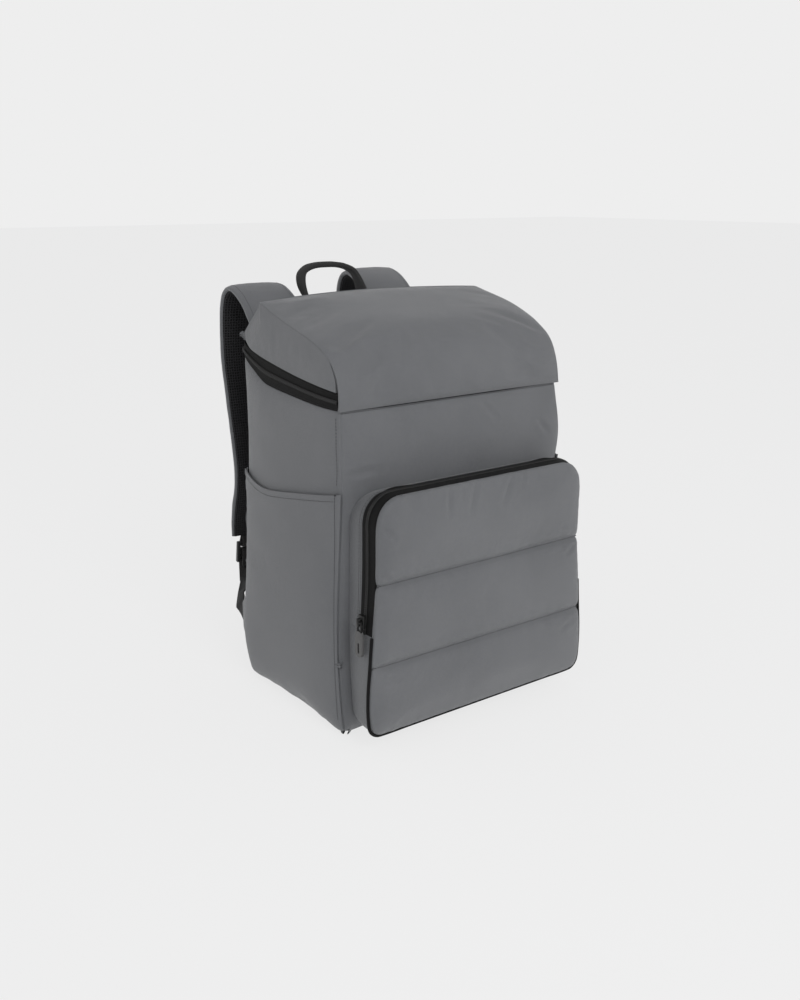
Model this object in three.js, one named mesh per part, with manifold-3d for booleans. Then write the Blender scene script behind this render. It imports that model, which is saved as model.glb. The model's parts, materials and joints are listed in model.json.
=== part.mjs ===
// Cooler backpack with a domed zip lid, a quilted front pocket and two padded shoulder straps.
// Millimetres, +Z up. The origin is the middle of the flat base, -Y is the front, +Y the wearer's back.
import * as THREE from 'three';
import { mergeVertices } from 'three/addons/utils/BufferGeometryUtils.js';
import Module from 'manifold-3d';

const wasm = await Module();
wasm.setup();

// Body: four foam-lined walls on a flat base
const bodyWidth = 280;
const bodyDepth = 191;
const seamHeight = 338;
const wall = 5;
const baseRadius = 12;
const frontCorner = 5;
const backCorner = 9;
const sideSwell = 4;
const frontSwell = 6;
const backSwell = 3;
const seamGap = 0.35;
const seatGap = 0.3;

// Lid: a domed cover over two side gussets, closed at the back by a sloping panel
const lidHeight = 92;
const lidWall = 5;
const lidPuff = 7;
const ridgePuff = 5;
const lidRidge = 46;
const lidOverhang = 2;
const lidBackDrop = 2;

// Main zip: it climbs from the front seam along both sides and crosses the back
const zipRise = 32;
const zipBandWidth = 26;
const zipTape = 1.2;
const zipCoilWidth = 6;
const zipCoilProud = 1.6;

// Front pocket: quilted face on a gusset, with a zip over its top
const pocketWidth = 280;
const pocketBottom = 22;
const pocketTop = 264;
const pocketDepth = 49;
const pocketTopCorner = 27;
const pocketBottomCorner = 13;
const pocketRearDrop = 7;
const pocketRearFall = 4;
const pocketSeamHeight = 127;
const pocketSwell = 2;
const gussetWall = 2;
const faceEdge = 2.5;
const facePuff = 7;
const quiltLow = 95;
const quiltHigh = 178;
const quiltNotch = 16;
const pocketZipTape = 1.2;
const pocketZipCoil = 4;
const pocketZipRearTape = 7;
const pocketZipFrontTape = 9;
const pipingRadius = 1.4;

// Side slip pockets
const slipWall = 1.5;
const slipGap = 0.7;
const slipSlack = 2;
const slipHeight = 236;
const slipRise = 22;

// Slider and pull, the same for both zips
const sliderLength = 13;
const sliderWidth = 8;
const sliderHeight = 3.2;
const bailWidth = 3;
const bailLength = 8;
const bailWire = 1.3;
const bailHeight = 4.2;
const linkPlay = 0.55;
const linkWidth = 7;
const linkLength = 15;
const linkWire = 1.5;
const linkInGrip = 5;
const gripWidth = 11;
const gripLength = 27;
const gripThickness = 3;
const gripShoulder = 7;
const gripSlotWidth = 3;
const gripSlotLength = 8;
const pocketSliderHeight = 141;
const mainSliderDepth = -52;

// Shoulder straps
const strapWidth = 66;
const strapEndWidth = 50;
const strapThickness = 9;
const strapSewnThickness = 3;
const liningThickness = 2;
const leftStrapCentre = 85;
const leftStrapEndCentre = 93;
const leftStrapReach = 92;
const leftStrapRise = 7;
const rightStrapCentre = 76;
const rightStrapEndCentre = 89;
const rightStrapReach = 102;
const rightStrapRise = 17;

// Webbing, ladder locks and anchor tabs
const webbingWidth = 25;
const webbingThickness = 1.6;
const lockThickness = 4;
const lockBar = 4.2;
const lockSlot = 7;
const lockDrop = 9;
const webbingTail = 26;
const tabThickness = 2.4;
const tabLow = 26;
const tabHigh = 102;
const tabReach = 28;
const tabTip = 30;
const tabLean = 14;

// Carry handle
const handleWidth = 14;
const handleThickness = 4;
const handleSpan = 82;
const handleReach = 36;
const handleRise = 28;

// Finishes, with colour, roughness and metalness
const finishes = {
  shell: { color: 0x6c6d72, roughness: 0.55, metalness: 0 },
  tape: { color: 0x1c1c1f, roughness: 0.8, metalness: 0 },
  mesh: { color: 0x141416, roughness: 0.95, metalness: 0 },
  webbing: { color: 0x1a1a1c, roughness: 0.85, metalness: 0 },
  moulded: { color: 0x17171a, roughness: 0.45, metalness: 0 },
  metal: { color: 0x1d1d20, roughness: 0.35, metalness: 0.8 },
  grip: { color: 0x4b4c51, roughness: 0.6, metalness: 0 },
};

// Half width of the body at each height, as shares of the plain half width and of the seam height
const bodySections = [
  { height: 0.0, width: 1.0 },
  { height: 0.09, width: 1.025 },
  { height: 0.3, width: 1.05 },
  { height: 0.45, width: 1.036 },
  { height: 0.77, width: 0.993 },
  { height: 0.88, width: 0.988 },
  { height: 1.0, width: 0.993 },
  { height: 1.3, width: 0.998 },
];

// How far each wall swells at each height, as a share of its own swell
const swellSections = [
  { height: 0.0, front: 0, side: 0, back: 0 },
  { height: 0.1, front: 0.2, side: 0.5, back: 0.6 },
  { height: 0.4, front: 0.35, side: 1, back: 1 },
  { height: 0.74, front: 0.2, side: 0.8, back: 0.7 },
  { height: 0.88, front: 1, side: 0.7, back: 0.2 },
  { height: 0.96, front: 0.1, side: 0.8, back: 0 },
  { height: 1.3, front: 0, side: 1, back: 0 },
];

// Zip line along the side: station from front (-1) to back (1), climb and band width as shares
const zipLine = [
  { station: -1.0, rise: 0.0, band: 0.65 },
  { station: -0.59, rise: 0.03, band: 0.77 },
  { station: -0.14, rise: 0.12, band: 0.85 },
  { station: 0.43, rise: 0.26, band: 1.0 },
  { station: 0.67, rise: 0.56, band: 0.8 },
  { station: 1.0, rise: 1.0, band: 0.54 },
];

// Seam of the lid's cover seen from the side, as shares of the half depth and of the lid's height
const lidSeam = [
  { depth: -1.0, height: 0.0 },
  { depth: -1.0, height: 0.18 },
  { depth: -0.965, height: 0.337 },
  { depth: -0.9, height: 0.467 },
  { depth: -0.81, height: 0.56 },
  { depth: -0.68, height: 0.63 },
  { depth: -0.52, height: 0.7 },
  { depth: -0.26, height: 0.77 },
  { depth: 0.094, height: 0.87 },
];

// Half width of the pocket at each height, as shares of its plain half width, at the face and at the rear
const pocketSections = [
  { height: 0.0, face: 1.0, rear: 0.92 },
  { height: 0.13, face: 1.018, rear: 0.94 },
  { height: 0.31, face: 0.996, rear: 0.95 },
  { height: 0.44, face: 0.978, rear: 0.95 },
  { height: 0.64, face: 0.948, rear: 0.943 },
  { height: 0.92, face: 0.943, rear: 0.93 },
  { height: 1.0, face: 0.943, rear: 0.925 },
];

// Top line of the side slip pocket, front (-1) to back (1), as a share of its rise
const slipLine = [
  { station: -1.0, rise: 1.0 },
  { station: -0.4, rise: 0.55 },
  { station: 0.4, rise: 0.0 },
  { station: 0.75, rise: 0.14 },
  { station: 1.0, rise: 0.45 },
];

// Outer face of a shoulder strap: reach behind the body and height, as shares, from the sewn end down
const strapLine = [
  { reach: 0.0, height: 0.765, thick: 0 },
  { reach: 0.0, height: 0.8, thick: 0 },
  { reach: 0.006, height: 0.838, thick: 0.1 },
  { reach: 0.06, height: 0.888, thick: 0.6 },
  { reach: 0.2, height: 0.934, thick: 1 },
  { reach: 0.38, height: 0.972, thick: 1 },
  { reach: 0.56, height: 0.993, thick: 1 },
  { reach: 0.72, height: 1.0, thick: 1 },
  { reach: 0.87, height: 0.984, thick: 1 },
  { reach: 0.96, height: 0.947, thick: 1 },
  { reach: 0.995, height: 0.895, thick: 1 },
  { reach: 1.0, height: 0.835, thick: 1 },
  { reach: 0.985, height: 0.78, thick: 1 },
  { reach: 0.935, height: 0.722, thick: 1 },
  { reach: 0.87, height: 0.643, thick: 1 },
  { reach: 0.807, height: 0.574, thick: 1 },
  { reach: 0.778, height: 0.513, thick: 1 },
  { reach: 0.81, height: 0.46, thick: 1 },
  { reach: 0.88, height: 0.41, thick: 1 },
  { reach: 0.92, height: 0.36, thick: 0.8 },
  { reach: 0.91, height: 0.32, thick: 0.45 },
];

// Half of the carry handle from a foot to its top, as shares of its half span, reach and height
const handleLine = [
  { span: 0.775, reach: 0.0, height: 0.745, twist: 0 },
  { span: 0.775, reach: 0.0, height: 0.807, twist: 0 },
  { span: 0.8, reach: 0.13, height: 0.856, twist: 0.1 },
  { span: 0.87, reach: 0.35, height: 0.9, twist: 0.45 },
  { span: 0.93, reach: 0.57, height: 0.936, twist: 0.8 },
  { span: 0.92, reach: 0.71, height: 0.962, twist: 1 },
  { span: 0.84, reach: 0.82, height: 0.981, twist: 1 },
  { span: 0.63, reach: 0.92, height: 0.993, twist: 1 },
  { span: 0.32, reach: 0.98, height: 0.999, twist: 1 },
  { span: 0.0, reach: 1.0, height: 1.0, twist: 1 },
];

const lidTop = seamHeight + lidHeight;
const handleTop = lidTop + handleRise;
const straps = {
  left: {
    side: -1,
    centre: leftStrapCentre,
    endCentre: leftStrapEndCentre,
    reach: leftStrapReach,
    crest: lidTop + leftStrapRise,
  },
  right: {
    side: 1,
    centre: rightStrapCentre,
    endCentre: rightStrapEndCentre,
    reach: rightStrapReach,
    crest: lidTop + rightStrapRise,
  },
};
const halfWidth = bodyWidth / 2;
const halfDepth = bodyDepth / 2;
const smallestCorner = 1;
const quarterTurn = Math.PI / 2;

const walls = {
  front: { facing: [0, -1], start: frontCorner, end: frontCorner, swell: frontSwell, column: 'front' },
  right: { facing: [1, 0], start: frontCorner, end: backCorner, swell: sideSwell, column: 'side' },
  back: { facing: [0, 1], start: backCorner, end: backCorner, swell: backSwell, column: 'back' },
  left: { facing: [-1, 0], start: backCorner, end: frontCorner, swell: sideSwell, column: 'side' },
};

// Smooth value of a table's column between its rows
function lookUp(table, key, column, at) {
  const last = table.length - 1;
  let row = 0;
  while (row < last - 1 && table[row + 1][key] < at) {
    row += 1;
  }
  const from = table[row];
  const to = table[row + 1];
  const before = table[Math.max(row - 1, 0)];
  const after = table[Math.min(row + 2, last)];
  const span = to[key] - from[key];
  const share = Math.min(Math.max((at - from[key]) / span, 0), 1);
  const slopeIn = ((to[column] - before[column]) / (to[key] - before[key])) * span;
  const slopeOut = ((after[column] - from[column]) / (after[key] - from[key])) * span;
  const square = share * share;
  const cube = square * share;
  const fromPart = (2 * cube - 3 * square + 1) * from[column] + (cube - 2 * square + share) * slopeIn;
  const toPart = (3 * square - 2 * cube) * to[column] + (cube - square) * slopeOut;
  return fromPart + toPart;
}

function mix(from, to, share) {
  return from + (to - from) * share;
}

function steps(from, to, count) {
  return Array.from({ length: count + 1 }, (_, index) => mix(from, to, index / count));
}

// Closed geometry from points and triangles, turned so that its faces point out
function closedGeometry(points, triangles) {
  const corner = (index) => points[index];
  let volume = 0;
  for (const [a, b, c] of triangles) {
    volume += corner(a).dot(new THREE.Vector3().crossVectors(corner(b), corner(c)));
  }
  const turned = volume < 0 ? triangles.map(([a, b, c]) => [a, c, b]) : triangles;
  const geometry = new THREE.BufferGeometry();
  geometry.setAttribute('position', new THREE.Float32BufferAttribute(points.flatMap((p) => p.toArray()), 3));
  geometry.setIndex(turned.flat());
  return geometry;
}

// A sheet with thickness: pointAt(column, row, side) gives the skin (side 0) and the lining (side 1)
function sheet(columns, rows, pointAt) {
  const points = [];
  const triangles = [];
  const at = (side, column, row) => (side * columns + column) * rows + row;
  for (let side = 0; side < 2; side += 1) {
    for (let column = 0; column < columns; column += 1) {
      for (let row = 0; row < rows; row += 1) {
        points.push(pointAt(column, row, side));
      }
    }
  }
  const quad = (a, b, c, d) => triangles.push([a, b, c], [a, c, d]);
  for (let column = 0; column + 1 < columns; column += 1) {
    for (let row = 0; row + 1 < rows; row += 1) {
      quad(at(0, column, row), at(0, column + 1, row), at(0, column + 1, row + 1), at(0, column, row + 1));
      quad(at(1, column, row), at(1, column, row + 1), at(1, column + 1, row + 1), at(1, column + 1, row));
    }
    quad(at(0, column, 0), at(1, column, 0), at(1, column + 1, 0), at(0, column + 1, 0));
    const top = rows - 1;
    quad(at(0, column, top), at(0, column + 1, top), at(1, column + 1, top), at(1, column, top));
  }
  for (let row = 0; row + 1 < rows; row += 1) {
    quad(at(0, 0, row), at(0, 0, row + 1), at(1, 0, row + 1), at(1, 0, row));
    const end = columns - 1;
    quad(at(0, end, row), at(1, end, row), at(1, end, row + 1), at(0, end, row + 1));
  }
  return closedGeometry(points, triangles);
}

// A flat band along a path. Each stop has its place, the direction of its width, its width and thickness
function band(stops, section) {
  const points = [];
  const triangles = [];
  const count = section.length;
  stops.forEach((stop, index) => {
    const before = stops[Math.max(index - 1, 0)].place;
    const after = stops[Math.min(index + 1, stops.length - 1)].place;
    const along = new THREE.Vector3().subVectors(after, before).normalize();
    const across = stop.across.clone().addScaledVector(along, -stop.across.dot(along)).normalize();
    const out = new THREE.Vector3().crossVectors(along, across);
    for (const [wide, deep] of section) {
      const point = stop.place.clone();
      point.addScaledVector(across, wide * stop.width).addScaledVector(out, deep * stop.thickness);
      points.push(point);
    }
  });
  for (let index = 0; index + 1 < stops.length; index += 1) {
    for (let side = 0; side < count; side += 1) {
      const a = index * count + side;
      const b = index * count + ((side + 1) % count);
      triangles.push([a, b, b + count], [a, b + count, a + count]);
    }
  }
  const lastRing = (stops.length - 1) * count;
  for (let side = 1; side + 1 < count; side += 1) {
    triangles.push([0, side + 1, side], [lastRing, lastRing + side, lastRing + side + 1]);
  }
  return closedGeometry(points, triangles);
}

// Sections of a band, as shares of its width and thickness: centred, and hanging from its outer face
const flatSection = [[-0.5, -0.5], [0.5, -0.5], [0.5, 0.5], [-0.5, 0.5]];
const roundedSection = [
  [-0.5, -0.3], [-0.44, -0.5], [0.44, -0.5], [0.5, -0.3],
  [0.5, 0.3], [0.44, 0.5], [-0.44, 0.5], [-0.5, 0.3],
];

// Solid for cutting and joining, and back
function toSolid(geometry) {
  const bare = geometry.clone();
  bare.deleteAttribute('normal');
  bare.deleteAttribute('uv');
  const merged = mergeVertices(bare, 1e-4);
  const vertProperties = new Float32Array(merged.attributes.position.array);
  const triVerts = new Uint32Array(merged.index.array);
  return new wasm.Manifold(new wasm.Mesh({ numProp: 3, vertProperties, triVerts }));
}

function fromSolid(solid) {
  const mesh = solid.getMesh();
  const geometry = new THREE.BufferGeometry();
  geometry.setAttribute('position', new THREE.Float32BufferAttribute(Array.from(mesh.vertProperties), 3));
  geometry.setIndex(Array.from(mesh.triVerts));
  return geometry;
}

function block(size, place) {
  return new THREE.BoxGeometry(...size).translate(...place);
}

const model = new THREE.Group();

function addPiece(name, geometry, finish) {
  const piece = new THREE.Mesh(geometry, new THREE.MeshStandardMaterial(finishes[finish]));
  piece.name = name;
  model.add(piece);
  return piece;
}

// Half width of the body at a height
function halfWidthAt(height) {
  return halfWidth * lookUp(bodySections, 'height', 'width', height / seamHeight);
}

function wallReach(panel, height) {
  return panel.facing[0] === 0 ? halfWidthAt(height) : halfDepth;
}

function wallDistance(panel, height) {
  return panel.facing[0] === 0 ? halfDepth : halfWidthAt(height);
}

// How far a wall swells out at a place along it and at a height
function swellAt(panel, along, height) {
  const reach = wallReach(panel, height) - (along < 0 ? panel.start : panel.end);
  const across = Math.max(1 - (along / reach) ** 4, 0);
  return panel.swell * across * lookUp(swellSections, 'height', panel.column, height / seamHeight);
}

// Stations of a wall from one corner seam to the next: half a corner, the wall, half a corner
function wallStations(count, startHalf = true, endHalf = true) {
  const corner = [quarterTurn / 2, quarterTurn / 4];
  const stations = steps(0, 1, count).map((share) => ({ share }));
  const start = startHalf ? corner.map((turn) => ({ end: -1, turn })) : [];
  const finish = endHalf ? [...corner].reverse().map((turn) => ({ end: 1, turn })) : [];
  return [...start, ...stations, ...finish];
}

// Plan of a wall at a height: a point at a station, set in from the skin
function planPoint(panel, station, height, inset) {
  const reach = wallReach(panel, height);
  const distance = wallDistance(panel, height) - inset;
  const startRadius = Math.max(panel.start - inset, smallestCorner);
  const endRadius = Math.max(panel.end - inset, smallestCorner);
  let along;
  let out = distance;
  if (station.end) {
    const radius = station.end < 0 ? startRadius : endRadius;
    const slack = station.turn > quarterTurn / 3 ? seamGap * 0.7 : 0;
    along = station.end * (reach - inset - radius + radius * Math.sin(station.turn) - slack);
    out -= radius * (1 - Math.cos(station.turn));
  } else {
    along = mix(-(reach - inset - startRadius), reach - inset - endRadius, station.share);
    out += swellAt(panel, along, height);
  }
  const [x, y] = panel.facing;
  return [x * out - y * along, y * out + x * along];
}

// Bottom edge of the main zip band at a depth, and the band's height there
function zipLow(y) {
  return seamHeight + zipRise * lookUp(zipLine, 'station', 'rise', y / halfDepth);
}

function zipBand(y) {
  return zipBandWidth * lookUp(zipLine, 'station', 'band', y / halfDepth);
}

function slipTop(y) {
  return slipHeight + slipRise * lookUp(slipLine, 'station', 'rise', y / halfDepth);
}

// Rows of a wall from the base seam up: the rounded lower edge, then shares of the height to its rim
const lowerEdge = [0, 1, 2].map((part) => ({ turn: (part * quarterTurn) / 3 }));
const wallRows = [...lowerEdge, ...[0, 0.12, 0.26, 0.42, 0.58, 0.74, 0.87, 1].map((share) => ({ share }))];

function wallPoint(panel, station, row, inset, rim) {
  if (row.turn !== undefined) {
    const pulled = baseRadius - (baseRadius - inset) * Math.sin(row.turn);
    const height = baseRadius - (baseRadius - inset) * Math.cos(row.turn);
    const [x, y] = planPoint(panel, station, height, pulled);
    return new THREE.Vector3(x, y, height);
  }
  const depth = planPoint(panel, station, seamHeight, inset)[1];
  const height = mix(baseRadius, rim(depth), row.share);
  const [x, y] = planPoint(panel, station, height, inset);
  return new THREE.Vector3(x, y, height);
}

function wallPanel(panel, count, rim) {
  const stations = wallStations(count);
  const pointAt = (column, row, side) =>
    wallPoint(panel, stations[column], wallRows[row], side * wall, rim);
  return sheet(stations.length, wallRows.length, pointAt);
}

function addBody() {
  addPiece('front_panel', wallPanel(walls.front, 8, () => seamHeight - seamGap), 'shell');
  addPiece('back_panel', wallPanel(walls.back, 6, zipLow), 'shell');
  addPiece('side_panel_left', wallPanel(walls.left, 8, zipLow), 'shell');
  addPiece('side_panel_right', wallPanel(walls.right, 8, zipLow), 'shell');
  const inset = baseRadius + seatGap;
  const outline = Object.values(walls).flatMap((panel) =>
    wallStations(1).map((station) => new THREE.Vector2(...planPoint(panel, station, 0, inset))));
  const plate = new THREE.ExtrudeGeometry(new THREE.Shape(outline), { depth: wall, bevelEnabled: false });
  addPiece('base_panel', plate, 'shell');
}

// Slip pocket lying on a side wall, slack in its middle
function slipPocket(panel) {
  const stations = wallStations(8);
  const rows = [lowerEdge[2], ...[0, 0.2, 0.4, 0.6, 0.8, 1].map((share) => ({ share }))];
  const pointAt = (column, row, side) => {
    const across = Math.sin((Math.PI * column) / (stations.length - 1));
    const up = Math.sin((Math.PI * row) / (rows.length - 0.5));
    const proud = slipGap + slipSlack * across * up + (1 - side) * slipWall;
    return wallPoint(panel, stations[column], rows[row], -proud, slipTop);
  };
  return sheet(stations.length, rows.length, pointAt);
}

// Run of the main zip: right side, back and left side
function zipRun() {
  const right = wallStations(8, false, true).map((station) => [walls.right, station]);
  const back = wallStations(6, false, false).map((station) => [walls.back, station]);
  const left = wallStations(8, true, false).map((station) => [walls.left, station]);
  const bend = (panel, end) => [panel, { end, turn: quarterTurn / 4 }];
  return [...right, bend(walls.back, -1), ...back, bend(walls.back, 1), ...left];
}

// A strip of the zip band between two shares of its height and two depths from the skin
function zipStrip(low, high, outer, inner) {
  const run = zipRun();
  const pointAt = (column, row, side) => {
    const [panel, station] = run[column];
    const inset = side === 0 ? outer : inner;
    const depth = planPoint(panel, station, seamHeight, 0)[1];
    const height = zipLow(depth) + seatGap + (zipBand(depth) - 2 * seatGap) * (row === 0 ? low : high);
    const [x, y] = planPoint(panel, station, height, inset);
    return new THREE.Vector3(x, y, height);
  };
  return sheet(run.length, 2, pointAt);
}

function addMainZip() {
  const half = 0.5 - seatGap / zipBandWidth;
  const coil = zipCoilWidth / zipBandWidth / 2;
  const tapeTop = 1;
  addPiece('main_zip_lower_tape', zipStrip(0, half, tapeTop, tapeTop + zipTape), 'tape');
  addPiece('main_zip_upper_tape', zipStrip(1 - half, 1, tapeTop, tapeTop + zipTape), 'tape');
  const coilBack = tapeTop - seatGap;
  addPiece('main_zip_coil', zipStrip(0.5 - coil, 0.5 + coil, coilBack - zipCoilProud, coilBack), 'tape');
}

// Seam curve of the lid's cover as points of depth and height, front seam first, ridge last
const lidCurve = new THREE.SplineCurve([
  ...lidSeam.map((row) => new THREE.Vector2(
    row.depth * halfDepth - lidOverhang * Math.max(-row.depth, 0),
    seamHeight + row.height * lidHeight,
  )),
  new THREE.Vector2(lidRidge, lidTop),
]);
const lidBackFoot = new THREE.Vector2(halfDepth, zipLow(halfDepth) + zipBand(halfDepth) + lidBackDrop);
const ridge = new THREE.Vector2(lidRidge, lidTop);
const lidRows = 16;

function inward(tangent) {
  return new THREE.Vector2(tangent.y, -tangent.x);
}

// Inward direction at the ridge, where the cover and the back panel meet in a mitre
const slope = new THREE.Vector2().subVectors(lidBackFoot, ridge).normalize();
const coverNormal = inward(lidCurve.getTangentAt(1));
const slopeNormal = inward(slope);
const mitreSum = new THREE.Vector2().addVectors(coverNormal, slopeNormal);
const ridgeMitre = mitreSum.clone().multiplyScalar(2 / mitreSum.lengthSq());

function coverNormalAt(row) {
  return row === lidRows ? ridgeMitre : inward(lidCurve.getTangentAt(row / lidRows));
}

// Half width that the lid has at a depth, following the rounded back corners
function lidHalfWidth(depth) {
  const full = halfWidthAt(seamHeight + lidHeight / 2);
  const past = depth - (halfDepth - backCorner);
  if (past <= 0) {
    return full;
  }
  return full - backCorner + Math.sqrt(Math.max(backCorner ** 2 - past ** 2, 0));
}

function lidCover() {
  const columns = 14;
  const pointAt = (column, row, side) => {
    const place = lidCurve.getPointAt(row / lidRows);
    const normal = coverNormalAt(row);
    const across = (2 * column) / columns - 1;
    const along = Math.sin((Math.PI * row) / lidRows) ** 0.6;
    const ridgeLift = ridgePuff * (1 - across ** 2) * (row / lidRows) ** 3;
    const lift = lidPuff * (1 - across ** 4) * along + ridgeLift - side * lidWall;
    const y = place.x - normal.x * lift - (row === lidRows ? seamGap / 2 : 0);
    const z = place.y - normal.y * lift + (row === 0 ? seamGap : 0);
    return new THREE.Vector3(across * lidHalfWidth(place.x), y, z);
  };
  return sheet(columns + 1, lidRows + 1, pointAt);
}

function lidBack() {
  const columns = 14;
  const rows = 6;
  const pointAt = (column, row, side) => {
    const place = new THREE.Vector2().lerpVectors(ridge, lidBackFoot, row / rows);
    const normal = row === 0 ? ridgeMitre : slopeNormal;
    const across = (2 * column) / columns - 1;
    const lift = ridgePuff * (1 - across ** 2) * (1 - row / rows) ** 2 - side * lidWall;
    const y = place.x - normal.x * lift + (row === 0 ? seamGap / 2 : 0);
    const z = Math.max(place.y - normal.y * lift, lidBackFoot.y - lidBackDrop + seamGap);
    return new THREE.Vector3(across * lidHalfWidth(place.x), y, z);
  };
  return sheet(columns + 1, rows + 1, pointAt);
}

// Height of the lid's inner face over a depth, under the cover and under the back panel
const coverLining = steps(0, lidRows, lidRows).map((row) => {
  const place = lidCurve.getPointAt(row / lidRows);
  return place.addScaledVector(coverNormalAt(row), lidWall + seatGap);
});

function underCover(depth) {
  let row = 1;
  while (row < lidRows && coverLining[row].x < depth) {
    row += 1;
  }
  const from = coverLining[row - 1];
  const to = coverLining[row];
  return mix(from.y, to.y, (depth - from.x) / (to.x - from.x));
}

function underBack(depth) {
  const drop = (lidWall + seatGap) / Math.abs(slopeNormal.y);
  return ridge.y + ((depth - ridge.x) * slope.y) / slope.x - drop;
}

function lidGusset(panel) {
  const stations = wallStations(12, panel === walls.left, panel === walls.right);
  const rows = 4;
  const frontStop = -(halfDepth - frontCorner - 1.5);
  const pointAt = (column, row, side) => {
    const station = stations[column];
    const depth = Math.max(planPoint(panel, station, seamHeight, 0)[1], frontStop);
    const low = zipLow(depth) + zipBand(depth) + seatGap;
    const high = Math.min(underCover(depth), underBack(depth));
    const height = mix(low, Math.max(high, low + 1), row / rows);
    const [x, y] = planPoint(panel, station, height, side * lidWall);
    return new THREE.Vector3(x, Math.max(y, frontStop), height);
  };
  return sheet(stations.length, rows + 1, pointAt);
}

function addLid() {
  addPiece('lid_cover', lidCover(), 'shell');
  addPiece('lid_back_panel', lidBack(), 'shell');
  addPiece('lid_gusset_left', lidGusset(walls.left), 'shell');
  addPiece('lid_gusset_right', lidGusset(walls.right), 'shell');
}

// Front pocket. Depth q runs from the body (0) to the pocket's face (1)
const faceBack = -(halfDepth + pocketDepth) + faceEdge;

function pocketLow(q) {
  return pocketBottom - pocketRearFall * (1 - q);
}

function pocketHigh(q) {
  return pocketTop - pocketRearDrop * (1 - q) ** 2;
}

function pocketHalfWidth(height, q) {
  const share = (height - pocketBottom) / (pocketTop - pocketBottom);
  const face = lookUp(pocketSections, 'height', 'face', share);
  const rear = lookUp(pocketSections, 'height', 'rear', share);
  return (pocketWidth / 2) * mix(rear, face, q);
}

// A place on the pocket's outline: a turn of a corner, a share of a side, or a share of the top or bottom
function outlinePoint(stop, q, inset) {
  const swell = pocketSwell * Math.sin(Math.PI * q) - inset;
  const low = pocketLow(q);
  const high = pocketHigh(q);
  if (stop.edge === 'side') {
    const height = stop.height;
    return [stop.side * (pocketHalfWidth(height, q) + swell), height];
  }
  const top = stop.edge === 'top' || stop.edge === 'topCorner';
  const radius = top ? pocketTopCorner : pocketBottomCorner;
  const centre = top ? high - radius : low + radius;
  const centreX = pocketHalfWidth(centre, q) - radius;
  if (stop.edge === 'top' || stop.edge === 'bottom') {
    return [mix(-centreX, centreX, stop.share), top ? high + swell : low - swell];
  }
  const x = stop.side * (centreX + (radius + swell) * Math.cos(stop.turn));
  return [x, centre + (radius + swell) * Math.sin(stop.turn)];
}

function cornerStops(edge, side, from, to) {
  return steps(from, to, 4).map((turn) => ({ edge, side, turn }));
}

function sideStops(side, from, to, count) {
  return steps(from, to, count).map((height) => ({ edge: 'side', side, height }));
}

const cornerStart = 0.05 * quarterTurn;
const cornerEnd = 0.95 * quarterTurn;
const cornerClear = 4;
const sideTopEnd = pocketTop - pocketTopCorner - pocketRearDrop - cornerClear;
const sideLowEnd = pocketBottom + pocketBottomCorner + cornerClear;

// Stops of the upper run, up the left side, over the top and down the right, and of the lower run
function upperRun() {
  const start = pocketSeamHeight + seatGap / 2;
  return [
    ...sideStops(-1, start, sideTopEnd, 4),
    ...cornerStops('topCorner', -1, cornerStart, cornerEnd),
    ...steps(0, 1, 7).map((share) => ({ edge: 'top', share })),
    ...cornerStops('topCorner', 1, cornerEnd, cornerStart),
    ...sideStops(1, sideTopEnd, start, 4),
  ];
}

function lowerRun() {
  const start = pocketSeamHeight - seatGap / 2;
  return [
    ...sideStops(-1, start, sideLowEnd, 3),
    ...cornerStops('bottomCorner', -1, -cornerStart, -cornerEnd),
    ...steps(0, 1, 7).map((share) => ({ edge: 'bottom', share })),
    ...cornerStops('bottomCorner', 1, -cornerEnd, -cornerStart),
    ...sideStops(1, sideLowEnd, start, 3),
  ];
}

// Skin of the body's front at a place, on which the pocket is sewn
function frontSkin(x, z) {
  return -(halfDepth + swellAt(walls.front, x, z));
}

function pocketPoint(stop, q, inset) {
  const [x, z] = outlinePoint(stop, q, inset);
  const rear = frontSkin(x, z) - seatGap;
  return new THREE.Vector3(x, mix(rear, faceBack + seatGap, q), z);
}

function pocketStrip(run, from, to, parts, outer, inner) {
  const depths = steps(from, to, parts);
  const pointAt = (column, row, side) => pocketPoint(run[column], depths[row], side === 0 ? outer : inner);
  return sheet(run.length, depths.length, pointAt);
}

// Puff of the pocket's face: three pillows between the sewn edges and the two quilt lines
function pocketPuff(across, height) {
  const edges = [pocketBottom, quiltLow, quiltHigh, pocketTop];
  const index = height < quiltLow ? 0 : height < quiltHigh ? 1 : 2;
  const inside = Math.min(height - edges[index], edges[index + 1] - height);
  const up = Math.min(Math.max(inside, 0) / quiltNotch, 1);
  const side = Math.min(((1 - Math.abs(across)) * pocketWidth) / 2 / quiltNotch, 1);
  const round = (share) => Math.sqrt(1 - (1 - share) ** 2);
  const atEdge = index === 0 && height - pocketBottom < quiltNotch;
  const atTop = index === 2 && pocketTop - height < quiltNotch;
  const floor = atEdge || atTop ? 0 : 0.25;
  return facePuff * (floor + (1 - floor) * round(up)) * round(side);
}

function pocketFaceRows() {
  const corner = (turns, edge) => turns.map((turn) => ({ edge, side: 1, turn }));
  const heights = [
    ...steps(sideLowEnd, quiltLow - quiltNotch, 3), quiltLow - 6, quiltLow, quiltLow + 6,
    ...steps(quiltLow + quiltNotch, quiltHigh - quiltNotch, 2), quiltHigh - 6, quiltHigh, quiltHigh + 6,
    ...steps(quiltHigh + quiltNotch, pocketTop - pocketTopCorner, 2),
  ];
  return [
    ...corner([-1, -0.66, -0.33].map((part) => part * quarterTurn), 'bottomCorner'),
    ...heights.map((height) => ({ edge: 'side', side: 1, height })),
    ...corner([0.33, 0.62, 0.85, 1].map((part) => part * quarterTurn), 'topCorner'),
  ];
}

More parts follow.
